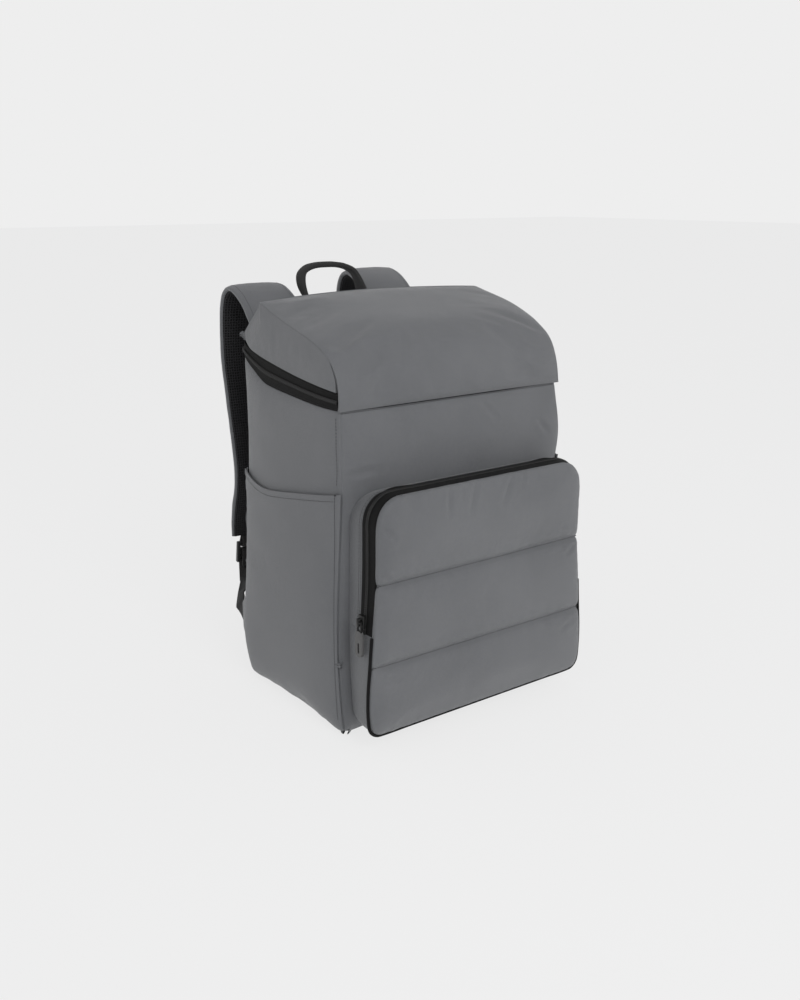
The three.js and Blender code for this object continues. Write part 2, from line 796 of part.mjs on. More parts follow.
function pocketFace() {
  const rows = pocketFaceRows();
  const columns = 18;
  const edgeY = -(halfDepth + pocketDepth);
  const pointAt = (column, row, side) => {
    const [reach, z] = outlinePoint(rows[row], 1, 0);
    const across = Math.sin(mix(-quarterTurn, quarterTurn, column / columns));
    const puff = side === 0 ? pocketPuff(across, z) : 0;
    return new THREE.Vector3(across * reach, side === 0 ? edgeY - puff : faceBack, z);
  };
  return sheet(columns + 1, rows.length, pointAt);
}

// Thin piping that runs round the lower part of the pocket's face
function pocketPiping() {
  const hexagon = [0, 60, 120, 180, 240, 300].map((degrees) => {
    const turn = THREE.MathUtils.degToRad(degrees);
    return [Math.cos(turn) / 2, Math.sin(turn) / 2];
  });
  const stops = lowerRun().map((stop) => {
    const [x, z] = outlinePoint(stop, 1, -pipingRadius - 2 * seatGap);
    const place = new THREE.Vector3(x, -(halfDepth + pocketDepth) + faceEdge / 2, z);
    const across = new THREE.Vector3(0, 1, 0);
    return { place, across, width: 2 * pipingRadius, thickness: 2 * pipingRadius };
  });
  return band(stops, hexagon);
}

function addPocket() {
  const depth = pocketDepth - faceEdge;
  const zipFrom = 1 - (pocketZipRearTape + pocketZipFrontTape + pocketZipCoil) / depth;
  const middle = 1 - pocketZipFrontTape / depth - pocketZipCoil / depth / 2;
  const gap = seatGap / depth;
  const coil = pocketZipCoil / depth / 2;
  addPiece('pocket_face', pocketFace(), 'shell');
  addPiece('pocket_gusset_upper', pocketStrip(upperRun(), 0, zipFrom - gap, 2, 0, gussetWall), 'shell');
  addPiece('pocket_gusset_lower', pocketStrip(lowerRun(), 0, 1, 3, 0, gussetWall), 'shell');
  const tape = (from, to) => pocketStrip(upperRun(), from, to, 1, 0.5, 0.5 + pocketZipTape);
  addPiece('pocket_zip_rear_tape', tape(zipFrom, middle - gap / 2), 'tape');
  addPiece('pocket_zip_front_tape', tape(middle + gap / 2, 1), 'tape');
  const coilFace = 0.5 - seatGap;
  addPiece('pocket_zip_coil',
    pocketStrip(upperRun(), middle - coil, middle + coil, 1, coilFace - zipCoilProud, coilFace), 'tape');
  addPiece('pocket_piping', pocketPiping(), 'tape');
  return middle;
}

// Slider and pull lie along -Z of their own frame, with +X out of the zip and the hinge along Y
const hingeOut = sliderHeight + bailHeight - bailWire - linkWire / 2 - linkPlay;

function sliderBody() {
  const eyeHeight = bailHeight - bailWire;
  const eyeSize = [eyeHeight, bailWidth + 1, bailLength - 2 * bailWire];
  const plate = toSolid(block([sliderHeight, sliderWidth, sliderLength], [sliderHeight / 2, 0, 0]));
  const bailMiddle = sliderHeight + bailHeight / 2 - 0.01;
  const bail = toSolid(block([bailHeight, bailWidth, bailLength], [bailMiddle, 0, 0]));
  const eye = toSolid(block(eyeSize, [sliderHeight + eyeHeight / 2, 0, 0]));
  return fromSolid(plate.add(bail.subtract(eye)));
}

function pullLink() {
  const frame = toSolid(block([linkWire, linkWidth, linkLength], [0, 0, linkWire / 2 - linkLength / 2]));
  const holeWidth = linkWidth - 2 * linkWire;
  const holeMiddle = -(linkLength + linkWire) / 2;
  const hole = toSolid(block([linkWire + 1, holeWidth, linkLength], [0, 0, holeMiddle]));
  return fromSolid(frame.subtract(hole));
}

function pullGrip() {
  const top = linkWire / 2 - linkLength + linkInGrip;
  const radius = gripWidth / 2;
  const shape = new THREE.Shape();
  shape.moveTo(-gripShoulder / 2, 0);
  shape.lineTo(gripShoulder / 2, 0);
  shape.lineTo(radius, -gripWidth / 2);
  shape.lineTo(radius, -(gripLength - radius));
  shape.absarc(0, -(gripLength - radius), radius, 0, -Math.PI, true);
  shape.lineTo(-radius, -gripWidth / 2);
  const slot = new THREE.Path();
  const slotMiddle = -(gripLength - radius - gripSlotLength / 2);
  const slotRadius = gripSlotWidth / 2;
  slot.absarc(0, slotMiddle + gripSlotLength / 2, slotRadius, 0, Math.PI, false);
  slot.absarc(0, slotMiddle - gripSlotLength / 2, slotRadius, Math.PI, 2 * Math.PI, false);
  shape.holes.push(slot);
  const bevel = { depth: gripThickness, bevelEnabled: false, curveSegments: 6 };
  const flat = new THREE.ExtrudeGeometry(shape, bevel);
  flat.translate(0, 0, -gripThickness / 2).rotateX(quarterTurn).rotateZ(quarterTurn).translate(0, 0, top);
  const legAt = (side) => {
    const size = [linkWire + 2 * seatGap, linkWire + 2 * seatGap, 2 * (linkInGrip + seatGap)];
    return toSolid(block(size, [0, (side * (linkWidth - linkWire)) / 2, top]));
  };
  return fromSolid(toSolid(flat).subtract(legAt(-1)).subtract(legAt(1)));
}

// A slider with its pull: its seat on the zip, its turn about Z and its tip about its own X
function addZipPull(name, seat, turn, tip) {
  const group = new THREE.Group();
  const slider = addPiece(`${name}_slider`, sliderBody(), 'metal');
  const link = addPiece(`${name}_link`, pullLink(), 'metal');
  const grip = addPiece(`${name}_grip`, pullGrip(), 'grip');
  link.position.x = hingeOut;
  grip.position.x = hingeOut;
  group.add(slider, link, grip);
  group.position.copy(seat);
  group.rotation.set(tip, 0, turn, 'ZYX');
  model.add(group);
}

function addPulls(pocketZipMiddle) {
  const stop = { edge: 'side', side: -1, height: pocketSliderHeight };
  const onCoil = pocketPoint(stop, pocketZipMiddle, -zipCoilProud);
  addZipPull('pocket_zip', onCoil.add(new THREE.Vector3(-seatGap * 2, 0, 0)), Math.PI, 0);
  const depth = mainSliderDepth;
  const height = zipLow(depth) + zipBand(depth) / 2;
  const out = halfWidthAt(height) + swellAt(walls.right, depth, height) + zipCoilProud;
  const ahead = depth + sliderLength;
  const climb = zipLow(ahead) + zipBand(ahead) / 2 - height;
  const tip = quarterTurn + Math.atan2(climb, sliderLength);
  addZipPull('main_zip', new THREE.Vector3(out, depth, height), 0, tip);
}

// Shoulder strap: padded band with a lining on the side that faces the body
function strapStops(strap, from, to) {
  const rows = 44;
  const curve = new THREE.CatmullRomCurve3(strapLine.map((row, index) => {
    const centre = mix(strap.centre, strap.endCentre, index / (strapLine.length - 1));
    const outerY = halfDepth + seatGap + row.reach * strap.reach;
    return new THREE.Vector3(strap.side * centre, outerY, row.height * strap.crest);
  }), false, 'centripetal');
  const across = new THREE.Vector3(-strap.side, 0, 0);
  return steps(0, 1, rows).map((share) => {
    const at = share * (strapLine.length - 1);
    const index = Math.min(Math.floor(at), strapLine.length - 2);
    const pad = mix(strapLine[index].thick, strapLine[index + 1].thick, at - index);
    const thickness = mix(strapSewnThickness, strapThickness, pad);
    const along = curve.getTangent(share);
    const outward = new THREE.Vector3(0, -along.z, along.y).normalize();
    const place = curve.getPoint(share).addScaledVector(outward, -mix(from, to, 0.5) * thickness);
    const width = mix(strapWidth, strapEndWidth, share);
    return { place, across, width, thickness: thickness * (to - from) };
  });
}

function addStrap(name, strap) {
  const liningShare = liningThickness / strapThickness;
  const gapShare = seatGap / strapSewnThickness;
  const padStops = strapStops(strap, 0, 1 - liningShare - gapShare);
  const liningStops = strapStops(strap, 1 - liningShare, 1);
  addPiece(`strap_pad_${name}`, band(padStops, roundedSection), 'shell');
  addPiece(`strap_lining_${name}`, band(liningStops, flatSection), 'mesh');
}

// Carry handle: one length of webbing, both feet flat on the back panel
function addHandle() {
  const half = handleLine.map((row) => ({ ...row, side: -1 }));
  const otherHalf = half.slice(0, -1).reverse().map((row) => ({ ...row, side: 1 }));
  const whole = [...half, ...otherHalf];
  const stops = whole.map((row) => {
    const y = halfDepth + seatGap + handleThickness / 2 + row.reach * handleReach;
    const z = row.height * (handleTop - handleThickness / 2);
    const place = new THREE.Vector3((row.side * row.span * handleSpan) / 2, y, z);
    const across = new THREE.Vector3(-row.side * (1 - row.twist), row.twist, 0);
    return { place, across, width: handleWidth, thickness: handleThickness };
  });
  addPiece('carry_handle', band(stops, flatSection), 'webbing');
}

// Lower end of a strap: ladder lock hanging from the pad, webbing down to a tab in the side seam
const hang = new THREE.Vector3(0, 0.15, -0.99).normalize();
const hangOut = new THREE.Vector3(0, -hang.z, hang.y);
const wrapRadius = Math.hypot(lockBar, lockThickness) / 2 + webbingThickness / 2 + 2 * seatGap;
const barPitch = lockBar + lockSlot;
const strapEnd = strapLine[strapLine.length - 1];
const padEndThickness = mix(strapSewnThickness, strapThickness, strapEnd.thick);

function padEnd(strap) {
  const y = halfDepth + seatGap + strapEnd.reach * strap.reach - padEndThickness / 2;
  return new THREE.Vector3(strap.side * strap.endCentre, y, strapEnd.height * strap.crest - 4 * seatGap);
}

// A place in the lock's own frame: down along the webbing from its middle bar, and out of its face
function fromLock(strap, down, out) {
  return padEnd(strap).addScaledVector(hang, lockDrop + barPitch + down).addScaledVector(hangOut, out);
}

function ladderLock(strap) {
  const height = 3 * lockBar + 2 * lockSlot;
  const inner = webbingWidth + 3;
  const width = inner + 2 * lockBar;
  const plate = toSolid(block([width, height, lockThickness], [0, 0, 0]));
  const slotAt = (place) => toSolid(block([inner, lockSlot, 2 * lockThickness], [0, place, 0]));
  const cut = plate.subtract(slotAt(barPitch / 2)).subtract(slotAt(-barPitch / 2));
  const frame = new THREE.Matrix4().makeBasis(
    new THREE.Vector3(1, 0, 0), hang.clone().negate(), hangOut.clone().negate());
  return fromSolid(cut).applyMatrix4(frame.setPosition(fromLock(strap, 0, 0)));
}

// Points round a bar of the lock, from its outer side to its inner side; way +1 passes below the bar
function aroundBar(strap, bar, way) {
  return [0, 45, 90, 135, 180].map((degrees) => {
    const turn = THREE.MathUtils.degToRad(degrees);
    return fromLock(strap, bar + way * wrapRadius * Math.sin(turn), wrapRadius * Math.cos(turn));
  });
}

function webbingStop(place, across) {
  return { place, across, width: webbingWidth, thickness: webbingThickness };
}

function lockLoop(strap) {
  const spread = padEndThickness / 2 - webbingThickness / 2;
  const endAt = (out) => padEnd(strap).add(new THREE.Vector3(0, out, 0));
  const places = [endAt(spread), ...aroundBar(strap, -barPitch, 1), endAt(-spread)];
  return band(places.map((place) => webbingStop(place, new THREE.Vector3(1, 0, 0))), flatSection);
}

// A place in an anchor tab's own frame, which starts at the back corner seam and leans inwards
const tabMiddle = (tabLow + tabHigh) / 2;
const tabTurn = THREE.MathUtils.degToRad(tabLean);
const tabSeat = tabThickness + 2 * seatGap;

function fromTab(side, reach, inside, height) {
  const cornerIn = backCorner * (1 - Math.SQRT1_2);
  const x = halfWidthAt(tabMiddle) - cornerIn - reach * Math.sin(tabTurn) - inside * Math.cos(tabTurn);
  const y = halfDepth - cornerIn + reach * Math.cos(tabTurn) - inside * Math.sin(tabTurn);
  return new THREE.Vector3(side * x, y, height);
}

function anchorTab(side) {
  const corners = [
    [tabSeat, tabLow], [tabReach, tabMiddle - tabTip / 2],
    [tabReach, tabMiddle + tabTip / 2], [tabSeat, tabHigh],
  ];
  const half = tabThickness / 2;
  const pointAt = (column, row, face) => {
    const low = corners[column === 0 ? 0 : 1];
    const high = corners[column === 0 ? 3 : 2];
    return fromTab(side, low[0], face === 0 ? -half : half, mix(low[1], high[1], row / 2));
  };
  return sheet(2, 3, pointAt);
}

function strapWebbing(strap) {
  const inside = tabThickness / 2 + seatGap + webbingThickness / 2;
  const onTab = (reach, rise) => fromTab(strap.side, reach * tabReach, inside, tabMiddle + rise);
  const tailTurn = fromLock(strap, barPitch + lockBar, wrapRadius);
  const down = new THREE.Vector3(0, 0, -1);
  const flat = new THREE.Vector3(1, 0, 0);
  const upright = new THREE.Vector3(0, 0, -strap.side);
  const lockExit = fromLock(strap, barPitch + lockBar, -wrapRadius);
  const run = new THREE.CatmullRomCurve3([
    fromLock(strap, barPitch, -wrapRadius), lockExit,
    fromLock(strap, 1.9 * barPitch, -2 * wrapRadius), onTab(1.9, 10), onTab(1.55, 3), onTab(1.25, 0),
  ], false, 'centripetal');
  const middle = steps(0.2, 1, 12).map((share) => {
    const turn = Math.min(Math.max((share - 0.3) / 0.45, 0), 1);
    return webbingStop(run.getPoint(share), flat.clone().lerp(upright, turn));
  });
  return band([
    webbingStop(tailTurn.clone().addScaledVector(down, webbingTail), flat),
    webbingStop(tailTurn.clone().addScaledVector(down, webbingTail / 3), flat),
    webbingStop(tailTurn, flat),
    ...aroundBar(strap, 0, -1).map((place) => webbingStop(place, flat)),
    ...middle,
    webbingStop(onTab(0.95, -1), upright),
    webbingStop(onTab(0.35, -3), upright),
  ], flatSection);
}

function addStrapEnd(name, strap) {
  addPiece(`ladder_lock_${name}`, ladderLock(strap), 'moulded');
  addPiece(`lock_loop_${name}`, lockLoop(strap), 'webbing');
  addPiece(`anchor_tab_${name}`, anchorTab(strap.side), 'shell');
  addPiece(`strap_webbing_${name}`, strapWebbing(strap), 'webbing');
}

addBody();
addMainZip();
addLid();
addPiece('slip_pocket_left', slipPocket(walls.left), 'shell');
addPiece('slip_pocket_right', slipPocket(walls.right), 'shell');
addPulls(addPocket());
for (const [name, strap] of Object.entries(straps)) {
  addStrap(name, strap);
  addStrapEnd(name, strap);
}
addHandle();

export default model;
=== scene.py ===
# %% [markdown]
# # A cooler backpack in grey padded nylon
# The bag stands on its flat base. Its walls are foam between two layers of nylon, so every panel
# swells a little between its seams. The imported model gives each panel's true size and place. Here
# each panel gets its soft shape, its seams and its finish.

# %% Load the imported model
import json
import math

import bmesh
import bpy
import numpy as np
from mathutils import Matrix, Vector, noise
from mathutils.bvhtree import BVHTree
from mathutils.kdtree import KDTree

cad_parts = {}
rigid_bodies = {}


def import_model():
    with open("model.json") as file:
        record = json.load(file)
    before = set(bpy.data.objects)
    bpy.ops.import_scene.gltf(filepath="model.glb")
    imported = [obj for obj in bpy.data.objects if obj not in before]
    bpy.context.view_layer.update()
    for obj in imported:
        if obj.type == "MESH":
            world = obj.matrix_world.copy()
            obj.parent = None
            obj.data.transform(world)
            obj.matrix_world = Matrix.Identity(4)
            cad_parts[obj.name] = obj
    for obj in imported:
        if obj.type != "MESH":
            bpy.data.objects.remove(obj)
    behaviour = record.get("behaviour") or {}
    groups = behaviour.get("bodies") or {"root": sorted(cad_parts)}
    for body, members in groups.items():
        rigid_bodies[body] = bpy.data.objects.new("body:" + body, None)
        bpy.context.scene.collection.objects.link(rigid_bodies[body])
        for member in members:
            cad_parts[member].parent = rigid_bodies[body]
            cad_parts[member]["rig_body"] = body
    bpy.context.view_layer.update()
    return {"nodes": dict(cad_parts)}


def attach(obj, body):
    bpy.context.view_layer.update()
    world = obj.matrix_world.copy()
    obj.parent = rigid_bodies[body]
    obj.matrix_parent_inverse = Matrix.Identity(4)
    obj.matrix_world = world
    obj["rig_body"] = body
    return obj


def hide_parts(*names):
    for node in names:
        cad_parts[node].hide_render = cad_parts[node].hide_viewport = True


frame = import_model()
bpy.ops.object.select_all(action="DESELECT")
print("packed nodes:", len(frame["nodes"]))

# %% [markdown]
# The camera stands where the photograph was taken: a little above the lid, in front and to the
# left. Its lens and its distance come from fitting the body's corners.

# %% Camera
AZIMUTH = math.radians(-36.2)
ELEVATION = math.radians(16.3)
DISTANCE = 1.1825
AIM = Vector((0.0007, 0.0, 0.2069))
FOCAL_PIXELS = 1065.0
LONG_SIDE_PIXELS = 1000
SENSOR = 36

back = Vector((
    math.sin(AZIMUTH) * math.cos(ELEVATION),
    -math.cos(AZIMUTH) * math.cos(ELEVATION),
    math.sin(ELEVATION),
))
bpy.ops.object.camera_add(location=AIM + back * DISTANCE)
camera = bpy.context.object
camera.rotation_euler = (-back).to_track_quat("-Z", "Y").to_euler()
camera.data.sensor_width = SENSOR
camera.data.lens = SENSOR * FOCAL_PIXELS / LONG_SIDE_PIXELS
bpy.context.scene.camera = camera
print("lens:", round(camera.data.lens, 2))

# %% [markdown]
# The photograph's light is soft and comes from all round, a little stronger from the upper left.
# A pale world gives the even part, and two large area lamps give the rest.

# %% Light, floor and world
PALE = (0.855, 0.855, 0.855, 1)
OVERHEAD = (0.48, 0.48, 0.49, 1)
PALE_BELOW, OVERHEAD_ABOVE = 0.25, 0.7
FLOOR_SHADE = 0.12


def lamp(name, place, power, size):
    bpy.ops.object.light_add(type="AREA", location=place)
    light = bpy.context.object
    light.name = name
    light.data.energy = power
    light.data.size = size
    light.rotation_euler = (AIM - Vector(place)).to_track_quat("-Z", "Y").to_euler()


scene = bpy.context.scene
scene.view_settings.view_transform = "Standard"
world = bpy.data.worlds.new("studio")
scene.world = world
world.use_nodes = True
sky = world.node_tree
way_up = sky.nodes.new("ShaderNodeSeparateXYZ")
sky.links.new(sky.nodes.new("ShaderNodeTexCoord").outputs["Generated"], way_up.inputs[0])
height = sky.nodes.new("ShaderNodeMapRange")
height.inputs["From Min"].default_value = PALE_BELOW
height.inputs["From Max"].default_value = OVERHEAD_ABOVE
sky.links.new(way_up.outputs["Z"], height.inputs["Value"])
shades = sky.nodes.new("ShaderNodeMix")
shades.data_type = "RGBA"
shades.inputs[6].default_value = PALE
shades.inputs[7].default_value = OVERHEAD
sky.links.new(height.outputs[0], shades.inputs[0])
sky.links.new(shades.outputs[2], sky.nodes["Background"].inputs["Color"])
lamp("key", (-0.5, -2.2, 1.6), 30, 1.2)
lamp("fill", (-1.8, 0.2, 1.2), 2, 1.4)

bpy.ops.mesh.primitive_plane_add(size=30)
floor = bpy.context.object
floor.name = "floor"
floor_material = bpy.data.materials.new("floor")
floor_material.use_nodes = True
floor.data.materials.append(floor_material)
tree = floor_material.node_tree
tree.nodes.clear()
glow = tree.nodes.new("ShaderNodeEmission")
glow.inputs["Color"].default_value = PALE
matt = tree.nodes.new("ShaderNodeBsdfDiffuse")
matt.inputs["Color"].default_value = (1, 1, 1, 1)
both = tree.nodes.new("ShaderNodeMixShader")
both.inputs["Fac"].default_value = FLOOR_SHADE
out = tree.nodes.new("ShaderNodeOutputMaterial")
tree.links.new(glow.outputs[0], both.inputs[1])
tree.links.new(matt.outputs[0], both.inputs[2])
tree.links.new(both.outputs[0], out.inputs[0])

# %% [markdown]
# A finish is written as sums on sockets. One small class holds a socket, so that adding or
# multiplying two of them adds the Math node, and another makes the nodes of a finish.

# %% Helpers for finishes


class Socket:
    """An output of a node that takes part in sums."""

    def __init__(self, finish, link):
        self.finish = finish
        self.link = link

    def __add__(self, other):
        return self.finish.maths("ADD", self, other)

    def __sub__(self, other):
        return self.finish.maths("SUBTRACT", self, other)

    def __rsub__(self, other):
        return self.finish.maths("SUBTRACT", other, self)

    def __mul__(self, other):
        return self.finish.maths("MULTIPLY", self, other)

    __radd__ = __add__
    __rmul__ = __mul__


class Finish:
    """A material, its shader and one way to add nodes."""

    def __init__(self, name, colour, roughness, **constant):
        self.material = bpy.data.materials.new(name)
        self.material.use_nodes = True
        self.tree = self.material.node_tree
        self.shader = self.tree.nodes["Principled BSDF"]
        self.material.diffuse_color = (*colour, 1)
        self.set(**{"Base Color": (*colour, 1), "Roughness": roughness}, **constant)

    def set(self, **values):
        for name, value in values.items():
            self.feed(self.shader.inputs[name.replace("_", " ")], value)

    def feed(self, socket, value):
        if isinstance(value, Socket):
            self.tree.links.new(value.link, socket)
        else:
            socket.default_value = value

    def node(self, kind, settings=None, output=0, **sockets):
        made = self.tree.nodes.new(kind)
        for name, value in (settings or {}).items():
            setattr(made, name, value)
        for name, value in sockets.items():
            numbered = name[0] == "i" and name[1:].isdigit()
            key = int(name[1:]) if numbered else name.replace("_", " ")
            self.feed(made.inputs[key], value)
        return Socket(self, made.outputs[output])

    def maths(self, operation, *values):
        sockets = {f"i{index}": value for index, value in enumerate(values)}
        return self.node("ShaderNodeMath", {"operation": operation}, **sockets)

    def mix(self, share, low, high):
        made = self.tree.nodes.new("ShaderNodeMix")
        made.data_type = "RGBA"
        self.feed(made.inputs[0], share)
        self.feed(made.inputs[6], low)
        self.feed(made.inputs[7], high)
        return Socket(self, made.outputs[2])

    def place(self, scale=1.0, source="Object"):
        """Where a point is: its place in the object or on its own map, times a scale."""
        at = self.node("ShaderNodeTexCoord", output=source)
        return self.node("ShaderNodeVectorMath", {"operation": "SCALE"}, Vector=at, Scale=scale)

    def noise(self, at, scale, detail=2.0):
        return self.node("ShaderNodeTexNoise", Vector=at, Scale=scale, Detail=detail, Roughness=0.5)

    def ramp(self, value, low, high, to_low=0.0, to_high=1.0):
        return self.node(
            "ShaderNodeMapRange", {"interpolation_type": "SMOOTHSTEP"}, Value=value,
            From_Min=low, From_Max=high, To_Min=to_low, To_Max=to_high,
        )

    def waves(self, at, axis, pitch):
        """A row of threads across an axis of the map, from 0 between two threads to 1 on one."""
        parts = self.node("ShaderNodeSeparateXYZ", output=axis, Vector=at)
        return self.maths("SINE", parts * (2 * math.pi / pitch)) * 0.5 + 0.5

    def bump(self, height, distance):
        made = self.node("ShaderNodeBump", Height=height, Distance=distance, Strength=1.0)
        self.set(Normal=made)


def grey(value, blue=0.0):
    return (value - blue / 2, value, value + blue)


print("helpers ready")

# %% [markdown]
# The shell is a plain woven nylon with a satin face. Fine warp and weft threads give a soft
# sheen, and the cloth is a little darker and lighter in broad patches where the foam behind
# presses on it.

# %% Cloth finishes
THREAD = 0.00045
TINT = 0.008


def shell_finish(name, value):
    finish = Finish(name, grey(value, TINT), 0.5, Sheen_Weight=0.22, Sheen_Roughness=0.35)
    spot = finish.place()
    woven = finish.place(source="UV")
    broad = finish.noise(spot, 9.0, 3.0)
    fine = finish.noise(spot, 260.0, 2.0)
    warp = finish.waves(woven, "X", THREAD)
    weft = finish.waves(woven, "Y", THREAD)
    weave = warp * weft
    tone = finish.ramp(broad + fine * 0.25, 0.35, 0.9)
    low = (*grey(value * 0.9, TINT), 1)
    high = (*grey(value * 1.12, TINT), 1)
    gloss = finish.ramp(broad, 0.3, 0.7, 0.44, 0.56)
    finish.set(Base_Color=finish.mix(tone, low, high), Roughness=gloss)
    finish.bump(weave * 0.5 + fine * 0.6 + finish.noise(spot, 75.0, 3.0) * 0.8, 0.00035)
    return finish.material


def tape_finish(name, value, pitch):
    finish = Finish(name, grey(value), 0.75, Sheen_Weight=0.03, Specular_IOR_Level=0.12)
    woven = finish.place(source="UV")
    across = finish.node("ShaderNodeSeparateXYZ", output="X", Vector=woven)
    along = finish.node("ShaderNodeSeparateXYZ", output="Y", Vector=woven)
    turns = 2 * math.pi / pitch
    slant = finish.maths("SINE", (across + along) * turns) * 0.5 + 0.5
    rows = finish.maths("SINE", along * turns) * 0.5 + 0.5
    weave = slant * 0.6 + rows * 0.4
    mottled = finish.noise(finish.place(), 60.0, 3.0)
    low = (*grey(value * 0.75), 1)
    high = (*grey(value * 1.3), 1)
    finish.set(Base_Color=finish.mix(weave * 0.6 + mottled * 0.4, low, high))
    finish.bump(weave, 0.0003)
    return finish.material


def mesh_finish(name):
    finish = Finish(name, grey(0.012), 0.85, Sheen_Weight=0.03, Specular_IOR_Level=0.1)
    woven = finish.place(source="UV")
    cells = finish.node(
        "ShaderNodeTexVoronoi", {"feature": "DISTANCE_TO_EDGE"},
        Vector=woven, Scale=330.0, Randomness=0.25,
    )
    hole = finish.ramp(cells, 0.1, 0.32)
    # The holes are painted near black: partly the black layer below them, partly painted shade in
    # the holes.
    knitted, dark = (0.032, 0.032, 0.034, 1), (0.004, 0.004, 0.004, 1)
    finish.set(Base_Color=finish.mix(hole, knitted, dark))
    finish.bump(1 - hole, 0.0008)
    return finish.material


def moulded_finish(name, value, roughness, metallic=0.0):
    finish = Finish(name, grey(value), roughness, Metallic=metallic)
    spot = finish.place()
    grain = finish.noise(spot, 1400.0, 2.0)
    patches = finish.noise(spot, 90.0, 3.0)
    low = (*grey(value * 0.85), 1)
    high = (*grey(value * 1.2), 1)
    gloss = patches * 0.16 + (roughness - 0.08)
    finish.set(Base_Color=finish.mix(patches, low, high), Roughness=gloss)
    finish.bump(grain, 0.00006)
    return finish.material


shell = shell_finish("grey nylon", 0.121)
# The base panel gets the shell's nylon at a lower value: painted shade under the bag.
shell_in_painted_shade = shell_finish("base nylon", 0.1)
tape = tape_finish("zip tape", 0.005, 0.0012)
webbing = tape_finish("webbing", 0.03, 0.0018)
air_mesh = mesh_finish("air mesh")
thread = tape_finish("thread", 0.05, 0.0005)
dark_thread = tape_finish("dark thread", 0.02, 0.0005)
coil_nylon = moulded_finish("coil nylon", 0.015, 0.4)
hard_plastic = moulded_finish("moulded plastic", 0.018, 0.42)
coated_metal = moulded_finish("coated metal", 0.02, 0.3, 0.7)
grip_rubber = moulded_finish("grip rubber", 0.07, 0.5)
print("finishes:", len(bpy.data.materials))

# %% [markdown]
# Each panel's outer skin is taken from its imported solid. The copy's doubles are merged. The skin
# starts at the face that looks out most and spreads over every edge that isn't sharp, and the
# other faces are dropped. Its triangles are then joined in pairs across their longest side,
# because even quads subdivide into even cloth.

# %% Skin of a panel
MERGED = 0.00002
SHARP = math.radians(50)


def select_only(piece):
    bpy.ops.object.select_all(action="DESELECT")
    piece.select_set(True)
    bpy.context.view_layer.objects.active = piece


def copy_of(node, name):
    """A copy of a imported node, in the scene and merged."""
    piece = bpy.data.objects.new(name, frame["nodes"][node].data.copy())
    scene.collection.objects.link(piece)
    piece.data.materials.clear()
    select_only(piece)
    bpy.ops.object.mode_set(mode="EDIT")
    bpy.ops.mesh.select_all(action="SELECT")
    bpy.ops.mesh.remove_doubles(threshold=MERGED)
    bpy.ops.mesh.customdata_custom_splitnormals_clear()
    bpy.ops.object.mode_set(mode="OBJECT")
    return piece


def out_of(point, low, high):
    """Direction from the nearest point of a box to a point outside it."""
    nearest = Vector(min(max(point[i], low[i]), high[i]) for i in range(3))
    return (point - nearest).normalized()


def pair_triangles(mesh):
    """Joins each two triangles that share the longest side of both."""
    longest = {face: max(face.edges, key=lambda edge: edge.calc_length()) for face in mesh.faces}
    shared = [
        edge for edge in mesh.edges
        if len(edge.link_faces) == 2 and all(longest[face] == edge for face in edge.link_faces)
    ]
    bmesh.ops.dissolve_edges(mesh, edges=shared, use_verts=False)


def skin_of(node, name, low, high):
    """A panel's outer skin: from the face that looks out most, over every edge that isn't sharp."""
    piece = copy_of(node, name)
    mesh = bmesh.new()
    mesh.from_mesh(piece.data)

    def looks_out(face):
        return face.normal.dot(out_of(face.calc_center_median(), low, high))

    start = max(mesh.faces, key=looks_out)
    skin, waiting = {start}, [start]
    while waiting:
        face = waiting.pop()
        for edge in face.edges:
            for other in edge.link_faces:
                if other not in skin and face.normal.angle(other.normal, math.pi) < SHARP:
                    skin.add(other)
                    waiting.append(other)
    dropped = [face for face in mesh.faces if face not in skin]
    bmesh.ops.delete(mesh, geom=dropped, context="FACES")
    pair_triangles(mesh)
    mesh.to_mesh(piece.data)
    mesh.free()
    select_only(piece)
    bpy.ops.object.mode_set(mode="EDIT")
    bpy.ops.mesh.select_all(action="SELECT")
    bend = math.radians(60)
    bpy.ops.mesh.tris_convert_to_quads(face_threshold=bend, shape_threshold=bend)
    bpy.ops.object.mode_set(mode="OBJECT")
    return piece


def apply(piece, kind, **settings):
    modifier = piece.modifiers.new(kind.title(), kind)
    for key, value in settings.items():
        setattr(modifier, key, value)
    select_only(piece)
    bpy.ops.object.modifier_apply(modifier=modifier.name)


def refine(piece, levels):
    apply(
        piece, "SUBSURF", levels=levels, render_levels=levels, boundary_smooth="PRESERVE_CORNERS",
    )


def points_of(piece, what="co"):
    co = np.empty(len(piece.data.vertices) * 3)
    piece.data.vertices.foreach_get(what, co)
    return co.reshape(-1, 3)


def set_points(piece, co):
    piece.data.vertices.foreach_set("co", co.ravel())
    piece.data.update()


body_low = Vector((-0.11, -0.07, 0.04))
body_high = Vector((0.11, 0.07, 0.42))
trial = skin_of("front_panel", "trial", body_low, body_high)
print("front skin:", len(trial.data.polygons), "faces,",
      sum(len(face.vertices) != 4 for face in trial.data.polygons), "of them not quads")
bpy.data.objects.remove(trial)

# %% [markdown]
# A seam needs the distance of each point of the cloth from the skin's open edge and the nearest
# place on that edge. With them the cloth is drawn in at the seam and puckered across it. Bulges
# and folds are moves in code too.

# %% Seams


def smooth(share):
    share = np.clip(share, 0, 1)
    return share * share * (3 - 2 * share)


def tree_of(points):
    tree = KDTree(len(points))
    for index, point in enumerate(points):
        tree.insert(point, index)
    tree.balance()
    return tree


def rim_of(piece):
    """Indices of the points on a skin's open edge."""
    mesh = bmesh.new()
    mesh.from_mesh(piece.data)
    rim = sorted({vert.index for edge in mesh.edges if edge.is_boundary for vert in edge.verts})
    mesh.free()
    return rim


